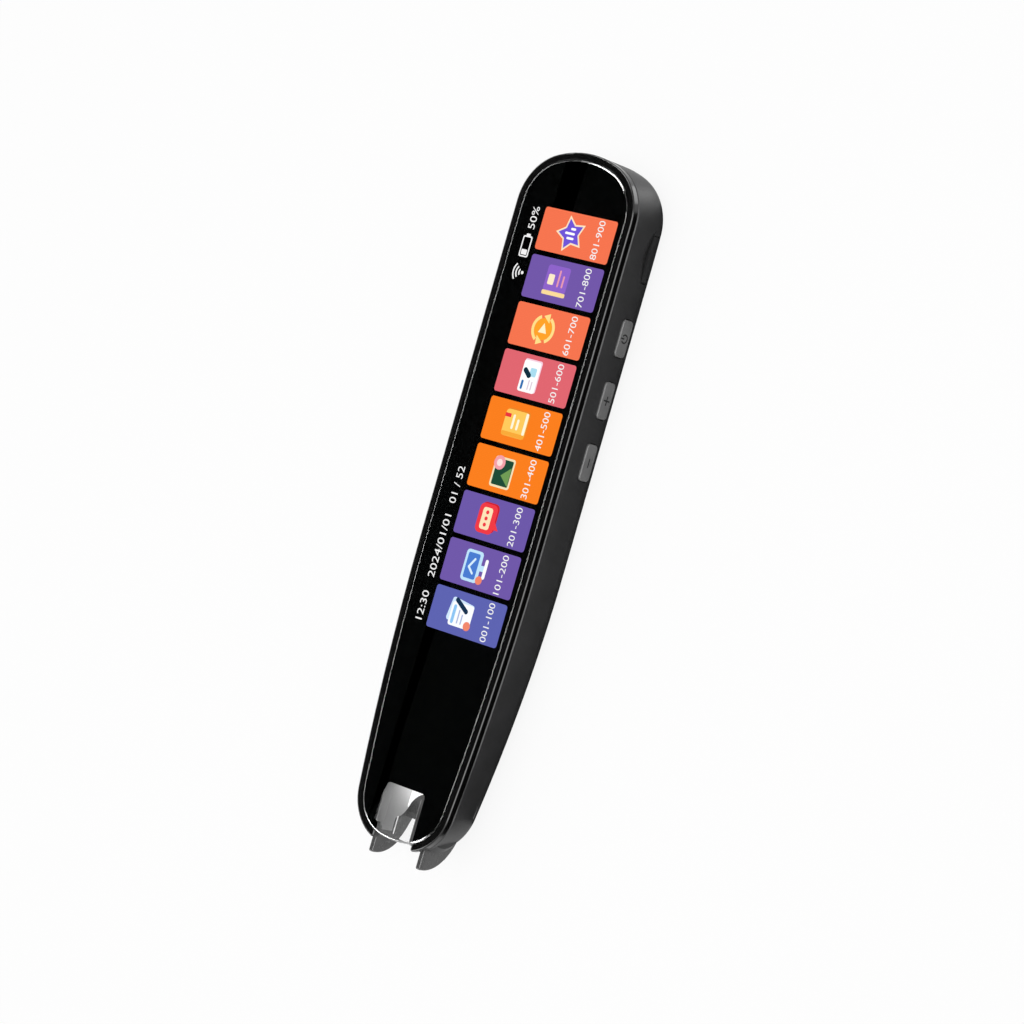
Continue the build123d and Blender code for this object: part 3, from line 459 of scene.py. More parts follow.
def row_of_plates(name, **sizes):
    """Runs the plate row and keeps its result as a plain mesh on the body."""
    host = add_object(name + "_host", bpy.data.meshes.new(name + "_host"))
    modifier = host.modifiers.new("plates", "NODES")
    modifier.node_group = plate_row
    for item in plate_row.interface.items_tree:
        if item.in_out == "INPUT":
            modifier[item.identifier] = sizes[item.name]
    made = add_object(name, keep_mesh(name, host))
    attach(made, "body")


tile_z = print_z + INK_STEP
row_of_plates(
    "screen_tiles",
    Length=TILE_LENGTH,
    Width=TILE_WIDTH,
    Corner=TILE_CORNER,
    Count=TILE_COUNT,
    Pitch=(0.0, TILE_PITCH, 0.0),
    Start=(TILE_X, FIRST_TILE_Y, tile_z),
    Material=tile_light,
)

# ==== screen picture: labels and status row ===
# Each tile carries a span of plain numbers. The status row has a clock, a date, a count of
# the week, a radio sign, and a battery with its charge, all in plain numbers and strokes.

DIGIT_HEIGHT = 1.8 * MM
STATUS_FOOT_X = -9.0 * MM
LABEL_HEIGHT = 1.6 * MM
LABEL_FOOT_X = 8.85 * MM
LABEL_START = 4.1 * MM  # from the middle of the tile
LABEL_LENGTH = 8.2 * MM
LIT_WHITE = "f2f2f2"
STATUS_WORDS = (  # name, words, start and length along the pen in millimetres
    ("clock", "12:30", -26.35, 6.1),
    ("date", "2024/01/01", -17.3, 13.4),
    ("week", "01 / 52", -1.4, 7.9),
    ("charge", "50%", 57.5, 4.8),
)

# Lit writing: clean white strokes.
white_light, tree, surface, place, veil = lit_screen("lit_screen_writing")
tint(tree, surface, linear(LIT_WHITE), veil)


def screen_writing(name, words, foot_x, start_y, length, height, level):
    """Writing along +Y that fills a given length and height."""
    text = bpy.data.curves.new(name, "FONT")
    text.body = words
    text.resolution_u = 4
    mesh = keep_mesh(name, add_object(name + "_host", text))
    across = [v.co.x for v in mesh.vertices]
    upright = [v.co.y for v in mesh.vertices]
    fit = Matrix.Diagonal(
        (length / (max(across) - min(across)), height / (max(upright) - min(upright)), 1, 1)
    )
    corner = Matrix.Translation((-min(across), -min(upright), 0))
    turn = Matrix.Rotation(math.pi / 2, 4, "Z")
    mesh.transform(Matrix.Translation((foot_x, start_y, level)) @ turn @ fit @ corner)
    mesh.materials.clear()
    mesh.materials.append(white_light)
    made = add_object(name, mesh)
    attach(made, "body")


writing_z = tile_z + INK_STEP
for name, words, start_y, length in STATUS_WORDS:
    screen_writing(name, words, STATUS_FOOT_X, start_y * MM, length * MM, DIGIT_HEIGHT, writing_z)
tile_places = [FIRST_TILE_Y + index * TILE_PITCH for index in range(TILE_COUNT)]
for index, tile_y in enumerate(tile_places):
    name, words = f"tile_label_{index + 1}", f"{index}01-{index + 1}00"
    start_y = tile_y - LABEL_START
    screen_writing(name, words, LABEL_FOOT_X, start_y, LABEL_LENGTH, LABEL_HEIGHT, writing_z)

# ==== screen picture: pictograms ==============
# A plain pictogram on each tile, and the battery and radio signs of the status row. Each
# is a stack of flat coloured shapes, drawn in millimetres: first along the writing, then up.

PICTURE_X = 0.7 * MM
SIGN_X = -9.95 * MM
BATTERY_Y = 53.75 * MM
RADIO_Y = 48.3 * MM
RADIO_FOOT = (0, -1.1)  # millimetres, as are the next four
RADIO_DOT = 0.35
RADIO_START = 0.1
RADIO_PITCH = 0.78
RADIO_STROKE = 0.34
DISC_STEP = 15  # degrees between the corners of a disc
STAR_WAIST = 0.55  # inner radius of a star over its outer one

# Lit pictograms: flat colours from behind, like the tiles under them.
picture_light, tree, surface, place, veil = lit_screen("lit_screen_pictures")
paint = add_node(tree, "ShaderNodeAttribute", attribute_name="paint")
tint(tree, surface, paint.outputs["Color"], veil)


def disc(centre, radius):
    """Outline of a disc."""
    return arc_points(centre, radius, 0, 360 - DISC_STEP, 360 // DISC_STEP - 1)


def stroke(start, end, width):
    """Outline of a straight stroke with round ends."""
    heading = math.degrees(math.atan2(end[1] - start[1], end[0] - start[0]))
    cap = arc_points(end, width / 2, heading - 90, heading + 90, 8)
    return cap + arc_points(start, width / 2, heading + 90, heading + 270, 8)


def band(centre, radius, width, start, end):
    """Outline of a bent band between two angles."""
    outer = arc_points(centre, radius + width / 2, start, end, 16)
    return outer + arc_points(centre, radius - width / 2, end, start, 16)


def star(centre, radius, points):
    """Outline of a star."""
    outline = []
    for index in range(2 * points):
        reach = radius if index % 2 == 0 else radius * STAR_WAIST
        angle = math.pi / 2 + index * math.pi / points
        outline.append((centre[0] + reach * math.cos(angle), centre[1] + reach * math.sin(angle)))
    return outline


def turned(outline, angle):
    """An outline turned about its middle."""
    spin = Matrix.Rotation(math.radians(angle), 2)
    return [tuple(spin @ Vector(point)) for point in outline]


def picture(name, x, y, level, shapes):
    """Stacks coloured shapes at a place on the screen."""
    sheets = [
        (outline, index * INK_STEP / MM, code) for index, (code, outline) in enumerate(shapes)
    ]
    turn = Matrix.Rotation(math.pi / 2, 4, "Z") @ Matrix.Diagonal((MM, MM, MM, 1))
    made = flat_piece(name, sheets, picture_light, Matrix.Translation((x, y, level)) @ turn)
    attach(made, "body")


sheet = [
    ("cfe6fb", turned(rounded_box((0.2, 0.3), (5.0, 6.2), 0.6), -8)),
    ("fafcff", rounded_box((-0.3, -0.1), (5.0, 5.9), 0.6)),
    ("8cc4f2", stroke((-2.0, 1.9), (1.2, 1.9), 0.8)),
    ("a9b6dc", stroke((-2.0, 0.5), (0.6, 0.5), 0.35)),
    ("a9b6dc", stroke((-2.0, -0.5), (-0.2, -0.5), 0.35)),
    ("16324f", stroke((0.7, -1.2), (2.6, 1.8), 1.0)),
    ("f0866a", disc((-2.1, -2.3), 0.95)),
]
monitor = [
    ("bfe3fa", rounded_box((0, 0.7), (6.6, 4.6), 0.8)),
    ("4a7bd0", rounded_box((0, 0.8), (5.4, 3.2), 0.4)),
    ("d9effc", stroke((-1.5, 0.2), (-0.3, 1.5), 0.5)),
    ("d9effc", stroke((-0.3, 1.5), (1.5, 0.3), 0.5)),
    ("bfe3fa", rounded_box((0, -2.1), (1.2, 1.4), 0.2)),
    ("ffffff", stroke((-1.7, -2.9), (1.7, -2.9), 0.8)),
    ("f0866a", disc((-2.5, -2.0), 0.9)),
]
speech = [
    ("c9242f", rounded_box((0.3, 0.1), (6.2, 4.8), 1.2)),
    ("ef3b45", rounded_box((0, 0.5), (6.2, 4.8), 1.2)),
    ("ef3b45", [(-1.9, -1.5), (0.3, -1.5), (-1.9, -3.3)]),
    ("fbe3b8", rounded_box((0, 0.6), (4.6, 2.6), 0.6)),
    ("ef3b45", disc((-1.3, 0.6), 0.42)),
    ("ef3b45", disc((0, 0.6), 0.42)),
    ("ef3b45", disc((1.3, 0.6), 0.42)),
]
landscape = [
    ("f3e2b8", rounded_box((-0.2, -0.2), (6.4, 5.4), 0.6)),
    ("1f4a36", rounded_box((-0.2, -0.2), (5.5, 4.5), 0.3)),
    ("6f9a54", [(-2.8, -2.3), (-0.8, 0.1), (1.2, -2.3)]),
    ("f2a0a8", disc((1.7, 1.2), 1.5)),
    ("fbe0dc", disc((1.7, 1.2), 0.75)),
]
book = [
    ("e8862a", rounded_box((0.3, -0.2), (5.6, 6.2), 0.8)),
    ("ffc95c", rounded_box((0, 0.1), (5.6, 6.2), 0.8)),
    ("f7a93a", rounded_box((-2.3, 0.1), (0.9, 6.2), 0.4)),
    ("fff6dc", rounded_box((0.4, -2.5), (4.6, 0.7), 0.3)),
    ("e8343f", rounded_box((1.5, 2.5), (0.8, 1.6), 0.1)),
    ("fff6dc", stroke((-0.9, 0.8), (1.6, 0.8), 0.6)),
    ("fff6dc", stroke((-0.9, -0.5), (0.8, -0.5), 0.6)),
]
note = [
    ("f6cfe0", rounded_box((0.2, -0.2), (6.8, 4.7), 0.5)),
    ("ffffff", rounded_box((0, 0), (6.6, 4.5), 0.5)),
    ("a9dcef", rounded_box((1.0, -0.7), (1.8, 1.7), 0.3)),
    ("d9c6d6", stroke((-2.6, -0.3), (-0.8, -0.3), 0.3)),
    ("d9c6d6", stroke((-2.6, -1.1), (-1.0, -1.1), 0.3)),
    ("12303f", stroke((0.2, 0.2), (1.2, 1.4), 1.1)),
    ("2f6fb0", stroke((-2.6, 1.4), (-1.2, 1.4), 0.6)),
]
cycle = [
    ("ffa22a", disc((0, 0), 2.3)),
    ("ffdf8a", band((0, 0), 2.7, 0.7, 25, 150)),
    ("ffdf8a", [(-3.4, 1.0), (-1.4, 1.2), (-2.7, -0.6)]),
    ("ffdf8a", band((0, 0), 2.7, 0.7, 205, 330)),
    ("ffdf8a", [(3.4, -1.0), (1.4, -1.2), (2.7, 0.6)]),
    ("fff1c8", [(-0.8, -1.1), (1.3, 0), (-0.8, 1.1)]),
]
folder = [
    ("8d63c9", rounded_box((0.5, 0.1), (5.4, 6.0), 0.6)),
    ("f9d99a", rounded_box((-2.6, 0.1), (0.9, 6.2), 0.3)),
    ("fbe9c8", rounded_box((0.2, 1.6), (2.2, 1.6), 0.3)),
    ("e79ab0", stroke((-0.9, -0.4), (2.2, -0.4), 0.45)),
    ("e79ab0", stroke((-0.9, -1.6), (1.2, -1.6), 0.45)),
]
favourite = [
    ("fbe3c0", star((0, -0.1), 4.0, 5)),
    ("6f55d6", star((0, -0.1), 3.3, 5)),
    ("ffffff", stroke((-0.9, -0.9), (-0.9, 0.5), 0.5)),
    ("ffffff", stroke((0.1, -0.9), (0.1, 1.2), 0.5)),
    ("ffffff", stroke((1.1, -0.9), (1.1, -0.1), 0.5)),
]
pictures = (sheet, monitor, speech, landscape, book, note, cycle, folder, favourite)
for index, (tile_y, shapes) in enumerate(zip(tile_places, pictures)):
    picture(f"pictogram_{index + 1}", PICTURE_X, tile_y, writing_z, shapes)

battery_sign = [
    (LIT_WHITE, rounded_box((0, 0), (4.5, 2.5), 0.45)),
    (LIT_WHITE, rounded_box((2.4, 0), (0.6, 1.1), 0.2)),
    ("000000", rounded_box((0, 0), (3.9, 1.9), 0.25)),
    (LIT_WHITE, rounded_box((-1.2, 0), (1.1, 1.5), 0.1)),
]
picture("battery_sign", SIGN_X, BATTERY_Y, writing_z, battery_sign)
radio_sign = [(LIT_WHITE, disc(RADIO_FOOT, RADIO_DOT))]
for ring in (1, 2, 3):
    radius = RADIO_PITCH * ring + RADIO_START
    radio_sign.append((LIT_WHITE, band(RADIO_FOOT, radius, RADIO_STROKE, 48, 132)))
picture("radio_sign", SIGN_X, RADIO_Y, writing_z, radio_sign)

# ==== keys ====================================
# Dark grey moulded caps; the signs are printed in black ink on the flat of each cap.

SIGN_STROKE = 0.32 * MM
SIGN_REACH = 0.85 * MM
RING_START, RING_END = 125, 415  # degrees; the power ring is open at its top

# Grey ABS with a light spark texture: paler than the case, the same soft sheen.
key_abs, tree, surface, place = start_material("satin_grey_abs", IOR=1.5)
grains = speckle(tree, surface, place, grain=0.2 * MM, dark="6a6a6a", pale="747474", bump=0.01 * MM)
wear_roughness(tree, surface, grains, low=0.4, high=0.55)
dress(key_abs, "power_button", "volume_up_button", "volume_down_button")

# Pad-printed ink: a thin dull black film.
pad_ink, tree, surface, place = start_material("black_pad_print", Roughness=0.6)
speckle(tree, surface, place, grain=0.1 * MM, dark="0c0c0c", pale="121212", bump=0.001 * MM)

level_stroke = stroke((-SIGN_REACH, 0), (SIGN_REACH, 0), SIGN_STROKE)
power_ring = band((0, 0), SIGN_REACH, SIGN_STROKE, RING_START, RING_END)
power_bar = stroke((0, 0.25 * SIGN_REACH), (0, 1.25 * SIGN_REACH), SIGN_STROKE)
face_on = Matrix(((0, 0, 1, 0), (1, 0, 0, 0), (0, 1, 0, 0), (0, 0, 0, 1)))
for key, body, outlines in (
    ("power_button", "power_key", [power_ring, power_bar]),
    ("volume_up_button", "volume_up_key", [level_stroke, turned(level_stroke, 90)]),
    ("volume_down_button", "volume_down_key", [level_stroke]),
):
    key_low, key_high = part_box(key)
    middle = (key_low + key_high) / 2
    sheets = [(outline, index * INK_STEP / 2) for index, outline in enumerate(outlines)]
    spot = Matrix.Translation((key_high.x + INK_STEP / 2, middle.y, middle.z))
    key_sign = flat_piece(key.replace("button", "sign"), sheets, pad_ink, spot @ face_on)
    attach(key_sign, body)

# ==== scanning nose ===========================
# Smoke-tinted polycarbonate hood, frosted acrylic light guides, white lamps on a board,
# and the reading camera behind them.

# Smoke polycarbonate: grey, with a hard moulded gloss.
smoke_pc, tree, surface, place = start_material("smoke_polycarbonate", IOR=1.58)
haze = speckle(tree, surface, place, grain=1.2 * MM, dark="424242", pale="4c4c4c", bump=0.002 * MM)
wear_roughness(tree, surface, haze, low=0.2, high=0.32)
dress(smoke_pc, "scan_hood")

# Frosted acrylic: milky, with a painted glow in place of a bright reflection, most low down at its
# rear.
GLOW_NOSE_Y = -70.5 * MM
GLOW_REAR_Y = -60.0 * MM
GLOW_TOP_Z = 12.0 * MM
GLOW_LOW_Z = 2.0 * MM
GLOW_LEAST = 0.15  # share of the glow that is left at the nose
frosted, tree, surface, place = start_material(
    "frosted_acrylic_painted_glow", IOR=1.49, Roughness=0.6, Emission_Strength=1.0
)
speckle(tree, surface, place, grain=0.3 * MM, dark="6c6c6c", pale="767676", bump=0.004 * MM)
axes = add_node(tree, "ShaderNodeSeparateXYZ", {"Vector": place})
shares = []
for axis, start, end in (("Y", GLOW_NOSE_Y, GLOW_REAR_Y), ("Z", GLOW_TOP_Z, GLOW_LOW_Z)):
    span = {"Value": axes.outputs[axis], "From Min": start, "From Max": end}
    shares.append(add_node(tree, "ShaderNodeMapRange", span).outputs["Result"])
rear, deep = shares
swell = add_node(tree, "ShaderNodeMath", {0: rear, 1: 2.0}, operation="POWER")
span = {"Value": swell.outputs[0], "To Min": GLOW_LEAST, "To Max": 1.0}
spread = add_node(tree, "ShaderNodeMapRange", span).outputs["Result"]
glow = add_node(tree, "ShaderNodeMath", {0: spread, 1: deep}, operation="MULTIPLY")
# painted glow: white low down at the rear, dark grey towards the nose and the glass
painted_shine = add_node(tree, "ShaderNodeValToRGB", {"Fac": glow.outputs[0]})
painted_shine.color_ramp.elements[0].color = linear("2c2c2c")
painted_shine.color_ramp.elements[1].color = linear("ffffff")
tree.links.new(painted_shine.outputs["Color"], surface.inputs["Emission Color"])
dress(frosted, "light_guides")

# Upper lip of each guide: it leans out to the edge of the window in the glass.
LIP_TOP_X = 5.78 * MM
LIP_THICKNESS = 0.25 * MM
LIP_NOSE_Y = -69.5 * MM
LIP_REAR_Y = -58.5 * MM
LIP_GAP = 0.12 * MM  # below the glass
LIP_OVERLAP = 0.2 * MM  # with the guide that it stands on
GUIDE_FACE_X = 5.29 * MM
guide_low, guide_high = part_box("light_guides")
lip_low_z = guide_high.z - LIP_OVERLAP
lip_high_z = glass_low.z - LIP_GAP
form = bmesh.new()
for side in (-1, 1):
    corners = []
    for y in (LIP_NOSE_Y, LIP_REAR_Y):
        for x, z in (
            (GUIDE_FACE_X, lip_low_z),
            (GUIDE_FACE_X + LIP_THICKNESS, lip_low_z),
            (LIP_TOP_X + LIP_THICKNESS, lip_high_z),
            (LIP_TOP_X, lip_high_z),
        ):
            corners.append(form.verts.new((side * x, y, z)))
    form.faces.new(corners[:4])
    form.faces.new(corners[4:])
    for face in ((0, 1, 5, 4), (1, 2, 6, 5), (2, 3, 7, 6), (3, 0, 4, 7)):
        form.faces.new([corners[index] for index in face])
# The lips carry the same painted glow as the guides.
guide_lips = smooth_mesh("guide_lips", form, frosted)
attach(guide_lips, "nib")

# Keel along the foot of each hood wall, and the shroud that closes the mouth of the case.
KEEL_EDGE = (  # lower edge, along the pen and up, in millimetres
    (-72.5, 3.5), (-72.0, 3.12), (-70.8, 2.25), (-69.45, 1.55), (-67.95, 0.95), (-66.75, 0.45),
)  # fmt: skip
KEEL_CREST = (  # upper edge, hidden in the wall
    (-66.75, 3.15), (-67.6, 2.4), (-70.5, 3.0), (-72.2, 4.2), (-72.6, 4.2),
)  # fmt: skip
KEEL_INNER_X = 6.12 * MM
KEEL_OUTER_X = 7.17 * MM
SHROUD_LOW = Vector((-6.07 * MM, -66.75 * MM, 2.5 * MM))
SHROUD_HIGH = Vector((6.07 * MM, -65.6 * MM, 3.12 * MM))
keel_outline = [(y * MM, z * MM) for y, z in KEEL_EDGE + KEEL_CREST]
form = bmesh.new()
for side in (-1, 1):
    walls = []
    for x in (KEEL_INNER_X, KEEL_OUTER_X):
        walls.append([form.verts.new((side * x, y, z)) for y, z in keel_outline])
    inner, outer = walls
    form.faces.new(inner)
    form.faces.new(outer)
    for index in range(len(inner)):
        form.faces.new((inner[index - 1], inner[index], outer[index], outer[index - 1]))
hood_keels = smooth_mesh("hood_keels", form, smoke_pc)
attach(hood_keels, "nib")
form = bmesh.new()
bmesh.ops.create_cube(form, size=1.0)
for vertex in form.verts:
    for axis in range(3):
        middle = (SHROUD_LOW[axis] + SHROUD_HIGH[axis]) / 2
        vertex.co[axis] = middle + vertex.co[axis] * (SHROUD_HIGH[axis] - SHROUD_LOW[axis])
mouth_shroud = smooth_mesh("mouth_shroud", form, smoke_pc)
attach(mouth_shroud, "body")

# White polyester film on the floor of the hood: a matt reflector, its front cut to an arch.
FILM_LIFT = 0.18 * MM
FILM_HALF_WIDTH = 5.28 * MM
FILM_ARCH_RADIUS = 5.1 * MM
FILM_ARCH_Y = -65.83 * MM
FILM_REAR_Y = -57.2 * MM
FILM_ARCH_END = 14  # degrees above level
FLOOR_THICKNESS = 0.6 * MM  # of the hood's floor, above the foot of the guides
# Its glow is painted light: the film is no lamp, and stands in for the light that falls into the
# hood.
painted_glow_film, tree, surface, place = start_material(
    "white_reflector_film_painted_glow",
    Roughness=0.7,
    Emission_Strength=0.75,
    Emission_Color=linear("f4f4f4"),
)
speckle(tree, surface, place, grain=0.4 * MM, dark="e4e4e4", pale="f4f4f4", bump=0.001 * MM)
arch_centre = (0, FILM_ARCH_Y)
arch = arc_points(arch_centre, FILM_ARCH_RADIUS, 180 - FILM_ARCH_END, FILM_ARCH_END, 24)
film = [(FILM_HALF_WIDTH, arch[-1][1]), (FILM_HALF_WIDTH, FILM_REAR_Y)]
film += [(-FILM_HALF_WIDTH, FILM_REAR_Y), (-FILM_HALF_WIDTH, arch[0][1])]
film_z = guide_low.z + FLOOR_THICKNESS + FILM_LIFT
reflector = flat_piece("reflector_film", [(film + arch, film_z)], painted_glow_film)
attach(reflector, "nib")

# Phosphor of the white lamps: a waxy yellow that lights up nearly white.
phosphor, tree, surface, place = start_material(
    "led_phosphor", Roughness=0.4, Emission_Strength=0.6, Emission_Color=linear("fff4dc")
)
speckle(tree, surface, place, grain=0.15 * MM, dark="f0d890", pale="f8e8b0", bump=0.004 * MM)
dress(phosphor, "scan_leds")

# Black anodised aluminium: a dry, dark satin that swallows stray light round the lens.
lens_black, tree, surface, place = start_material("black_anodised_aluminium", Metallic=0.3)
grains = speckle(
    tree, surface, place, grain=0.15 * MM, dark="0e0e10", pale="161618", bump=0.006 * MM
)
wear_roughness(tree, surface, grains, low=0.35, high=0.5)
dress(lens_black, "scan_camera", "photo_camera")

# ==== camera window in the back ===============
# Tinted acrylic disc pressed into its seat, with a black printed ring round the lens.

RING_INNER_RADIUS = 2.1 * MM
RING_SOFT_EDGE = 0.05 * MM

# Smoked acrylic: a dark glossy disc, blacker where its back is printed.
smoked_acrylic, tree, surface, place = start_material(
    "smoked_acrylic", IOR=1.49, Roughness=0.06
)
window_low, window_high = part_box("photo_camera_window")
window_middle = (window_low + window_high) / 2
centred = add_node(
    tree, "ShaderNodeVectorMath", {0: place, 1: window_middle}, operation="SUBTRACT"
)
flat = add_node(
    tree, "ShaderNodeVectorMath", {0: centred.outputs[0], 1: (1, 1, 0)}, operation="MULTIPLY"
)
reach = add_node(tree, "ShaderNodeVectorMath", {0: flat.outputs[0]}, operation="LENGTH")
ring_start = RING_INNER_RADIUS - RING_SOFT_EDGE
span = {"Value": reach.outputs["Value"], "From Min": ring_start, "From Max": RING_INNER_RADIUS}
printed = add_node(tree, "ShaderNodeMapRange", span)
disc_tone = add_node(tree, "ShaderNodeValToRGB", {"Fac": printed.outputs["Result"]})
disc_tone.color_ramp.elements[0].color = linear("1c1e24")
disc_tone.color_ramp.elements[1].color = linear("060607")
tree.links.new(disc_tone.outputs["Color"], surface.inputs["Base Color"])
dress(smoked_acrylic, "photo_camera_window")

# ==== display, boards and metal parts =========
# Liquid crystal panel with its steel pan, four circuit boards with the parts soldered to
# them, and the bare metal round them: shield, socket shell, screws, springs and hinge pin.

TRACE_PITCH = 0.9 * MM
TRACE_WIDTH = 0.06  # how near to the edge of a cell the track shows
DRAWN_OUT = 0.08  # width of a mark over its length along the pen

# Panel glass with its polariser: near black with a cold tint when it is seen from behind.
panel_glass, tree, surface, place = start_material("polarised_panel_glass", IOR=1.5)
grains = speckle(tree, surface, place, grain=2 * MM, dark="0b0d10", pale="101318", bump=0.001 * MM)
wear_roughness(tree, surface, grains, low=0.08, high=0.16)
dress(panel_glass, "display_panel")


def drawn_metal(name, dark, pale, grain, low, high):
    """Bare metal with marks drawn out along the pen."""
    made, tree, surface, place = start_material(name, Metallic=1.0)
    drawn = add_node(tree, "ShaderNodeMapping", {"Vector": place, "Scale": (1, DRAWN_OUT, 1)})
    grains = speckle(tree, surface, drawn.outputs[0], grain, dark, pale, bump=0.004 * MM)
    wear_roughness(tree, surface, grains, low, high)
    return made


# Rolled stainless steel: cool grey with fine rolling marks along its length.
dress(
    drawn_metal("rolled_stainless_steel", "8e9092", "a6a8aa", grain=0.3 * MM, low=0.25, high=0.4),
    "display_backplate",
)
# Tinned nickel silver: warmer and softer, dulled by the solder flux.
dress(
    drawn_metal("tinned_nickel_silver", "9a968c", "b4b0a6", grain=0.5 * MM, low=0.3, high=0.5),
    "processor_shield",
)
# Nickel-plated steel: bright and hard, with the grain of the drawn shell.
dress(
    drawn_metal("nickel_plated_steel", "9c9a94", "bab8b2", grain=0.25 * MM, low=0.18, high=0.32),
    "usb_port",
    "microphone",
)
# Black zinc-plated steel screws: dark with a faint oily sheen.
dress(
    drawn_metal("black_zinc_plated_steel", "2a2a2c", "38383a", grain=0.2 * MM, low=0.3, high=0.45),
    "frame_screws",
    "board_screws",
)
# Spring wire and pin: bare bright steel.
dress(
    drawn_metal("bright_spring_steel", "86888a", "a4a6a8", grain=0.2 * MM, low=0.2, high=0.35),
    "nib_springs",
    "port_cover_pin",
)
# The springs get their own copy of their mesh.
springs = nodes["nib_springs"]
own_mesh(springs)

# Glass-fibre board under green solder mask: tracks show as paler lines under the gloss.
solder_mask, tree, surface, place = start_material("green_solder_mask", IOR=1.5)
grains = grainy_relief(tree, surface, place, grain=0.2 * MM, bump=0.004 * MM)
wear_roughness(tree, surface, grains, low=0.25, high=0.4)
cells = add_node(
    tree,
    "ShaderNodeTexVoronoi",
    {"Vector": place, "Scale": 0.35 / TRACE_PITCH, "Randomness": 0.6},
    feature="DISTANCE_TO_EDGE",
    distance="CHEBYCHEV",
)
tracks = add_node(tree, "ShaderNodeValToRGB", {"Fac": cells.outputs["Distance"]})
tracks.color_ramp.interpolation = "CONSTANT"
tracks.color_ramp.elements[0].color = linear("1c6a41")
tracks.color_ramp.elements[1].position = TRACE_WIDTH
tracks.color_ramp.elements[1].color = linear("0d3b24")
tree.links.new(tracks.outputs["Color"], surface.inputs["Base Color"])
dress(solder_mask, "main_board", "key_board", "scan_led_board", "port_board")

# Epoxy moulding compound: dull charcoal with a fine sandy grain.
epoxy, tree, surface, place = start_material("epoxy_moulding_compound", IOR=1.5)
grains = speckle(
    tree, surface, place, grain=0.12 * MM, dark="1a1b1d", pale="232426", bump=0.006 * MM
)
wear_roughness(tree, surface, grains, low=0.5, high=0.7)
dress(epoxy, "memory_chips")

# Glass-filled nylon of the switches and the speaker: off-black with pale flecks.
nylon, tree, surface, place = start_material("glass_filled_nylon", IOR=1.53)
grains = speckle(
    tree, surface, place, grain=0.18 * MM, dark="1b1b1b", pale="2c2c2c", bump=0.006 * MM
)
wear_roughness(tree, surface, grains, low=0.4, high=0.6)
dress(nylon, "key_switches", "nib_switch", "speaker")

# ==== battery, speaker mesh and antenna =======
# Pouch cell in aluminium laminate, acoustic mesh behind the speaker slots, and a
# flexible antenna stuck to the wall.

MESH_PITCH = 0.25 * MM
THREAD_RELIEF = 0.05 * MM
COIL_PITCH = 1.5 * MM

# Aluminium laminate: soft silver with shallow dents that wander over the pouch.
laminate, tree, surface, place = start_material("aluminium_laminate", Metallic=0.9)
grains = speckle(tree, surface, place, grain=3 * MM, dark="9ea0a2", pale="b8babc", bump=0.05 * MM)
wear_roughness(tree, surface, grains, low=0.3, high=0.45)
dress(laminate, "battery")

# Woven polyester mesh: black threads over and under, with pin-holes between.
acoustic_mesh, tree, surface, place = start_material("woven_polyester_mesh", Roughness=0.7)
weave = []
bands = {"Vector": place, "Scale": WAVE_SCALE / MESH_PITCH}
for direction in ("X", "Y"):
    threads = add_node(tree, "ShaderNodeTexWave", bands, bands_direction=direction)
    weave.append(threads.outputs["Fac"])
crossing = add_node(tree, "ShaderNodeMath", {0: weave[0], 1: weave[1]}, operation="MAXIMUM")
thread_tone = add_node(tree, "ShaderNodeValToRGB", {"Fac": crossing.outputs[0]})
thread_tone.color_ramp.elements[0].color = linear("020202")
thread_tone.color_ramp.elements[1].color = linear("242426")
tree.links.new(thread_tone.outputs["Color"], surface.inputs["Base Color"])
depth = {"Height": crossing.outputs[0], "Distance": THREAD_RELIEF}
relief = add_node(tree, "ShaderNodeBump", depth)
tree.links.new(relief.outputs["Normal"], surface.inputs["Normal"])
dress(acoustic_mesh, "speaker_mesh")

# Polyimide film over copper: amber, with the copper's meander showing darker through it.
polyimide, tree, surface, place = start_material("polyimide_film", IOR=1.6, Roughness=0.3)
grainy_relief(tree, surface, place, grain=0.3 * MM, bump=0.002 * MM)
bands = {"Vector": place, "Scale": WAVE_SCALE / COIL_PITCH}
meander = add_node(tree, "ShaderNodeTexWave", bands, bands_direction="Y")
copper = add_node(tree, "ShaderNodeValToRGB", {"Fac": meander.outputs["Fac"]})
copper.color_ramp.interpolation = "CONSTANT"
copper.color_ramp.elements[0].color = linear("c07c22")
copper.color_ramp.elements[1].position = 0.5
copper.color_ramp.elements[1].color = linear("84441a")
tree.links.new(copper.outputs["Color"], surface.inputs["Base Color"])
dress(polyimide, "wifi_antenna")

# ==== studio ==================================
# Plain white paper floor, an even white room, one soft lamp overhead, and cards that only
# reflections see. Black cards keep the flat glass and the foot of the case dark, and bright
# ones draw the white lines along the edges of the glass and its frame.

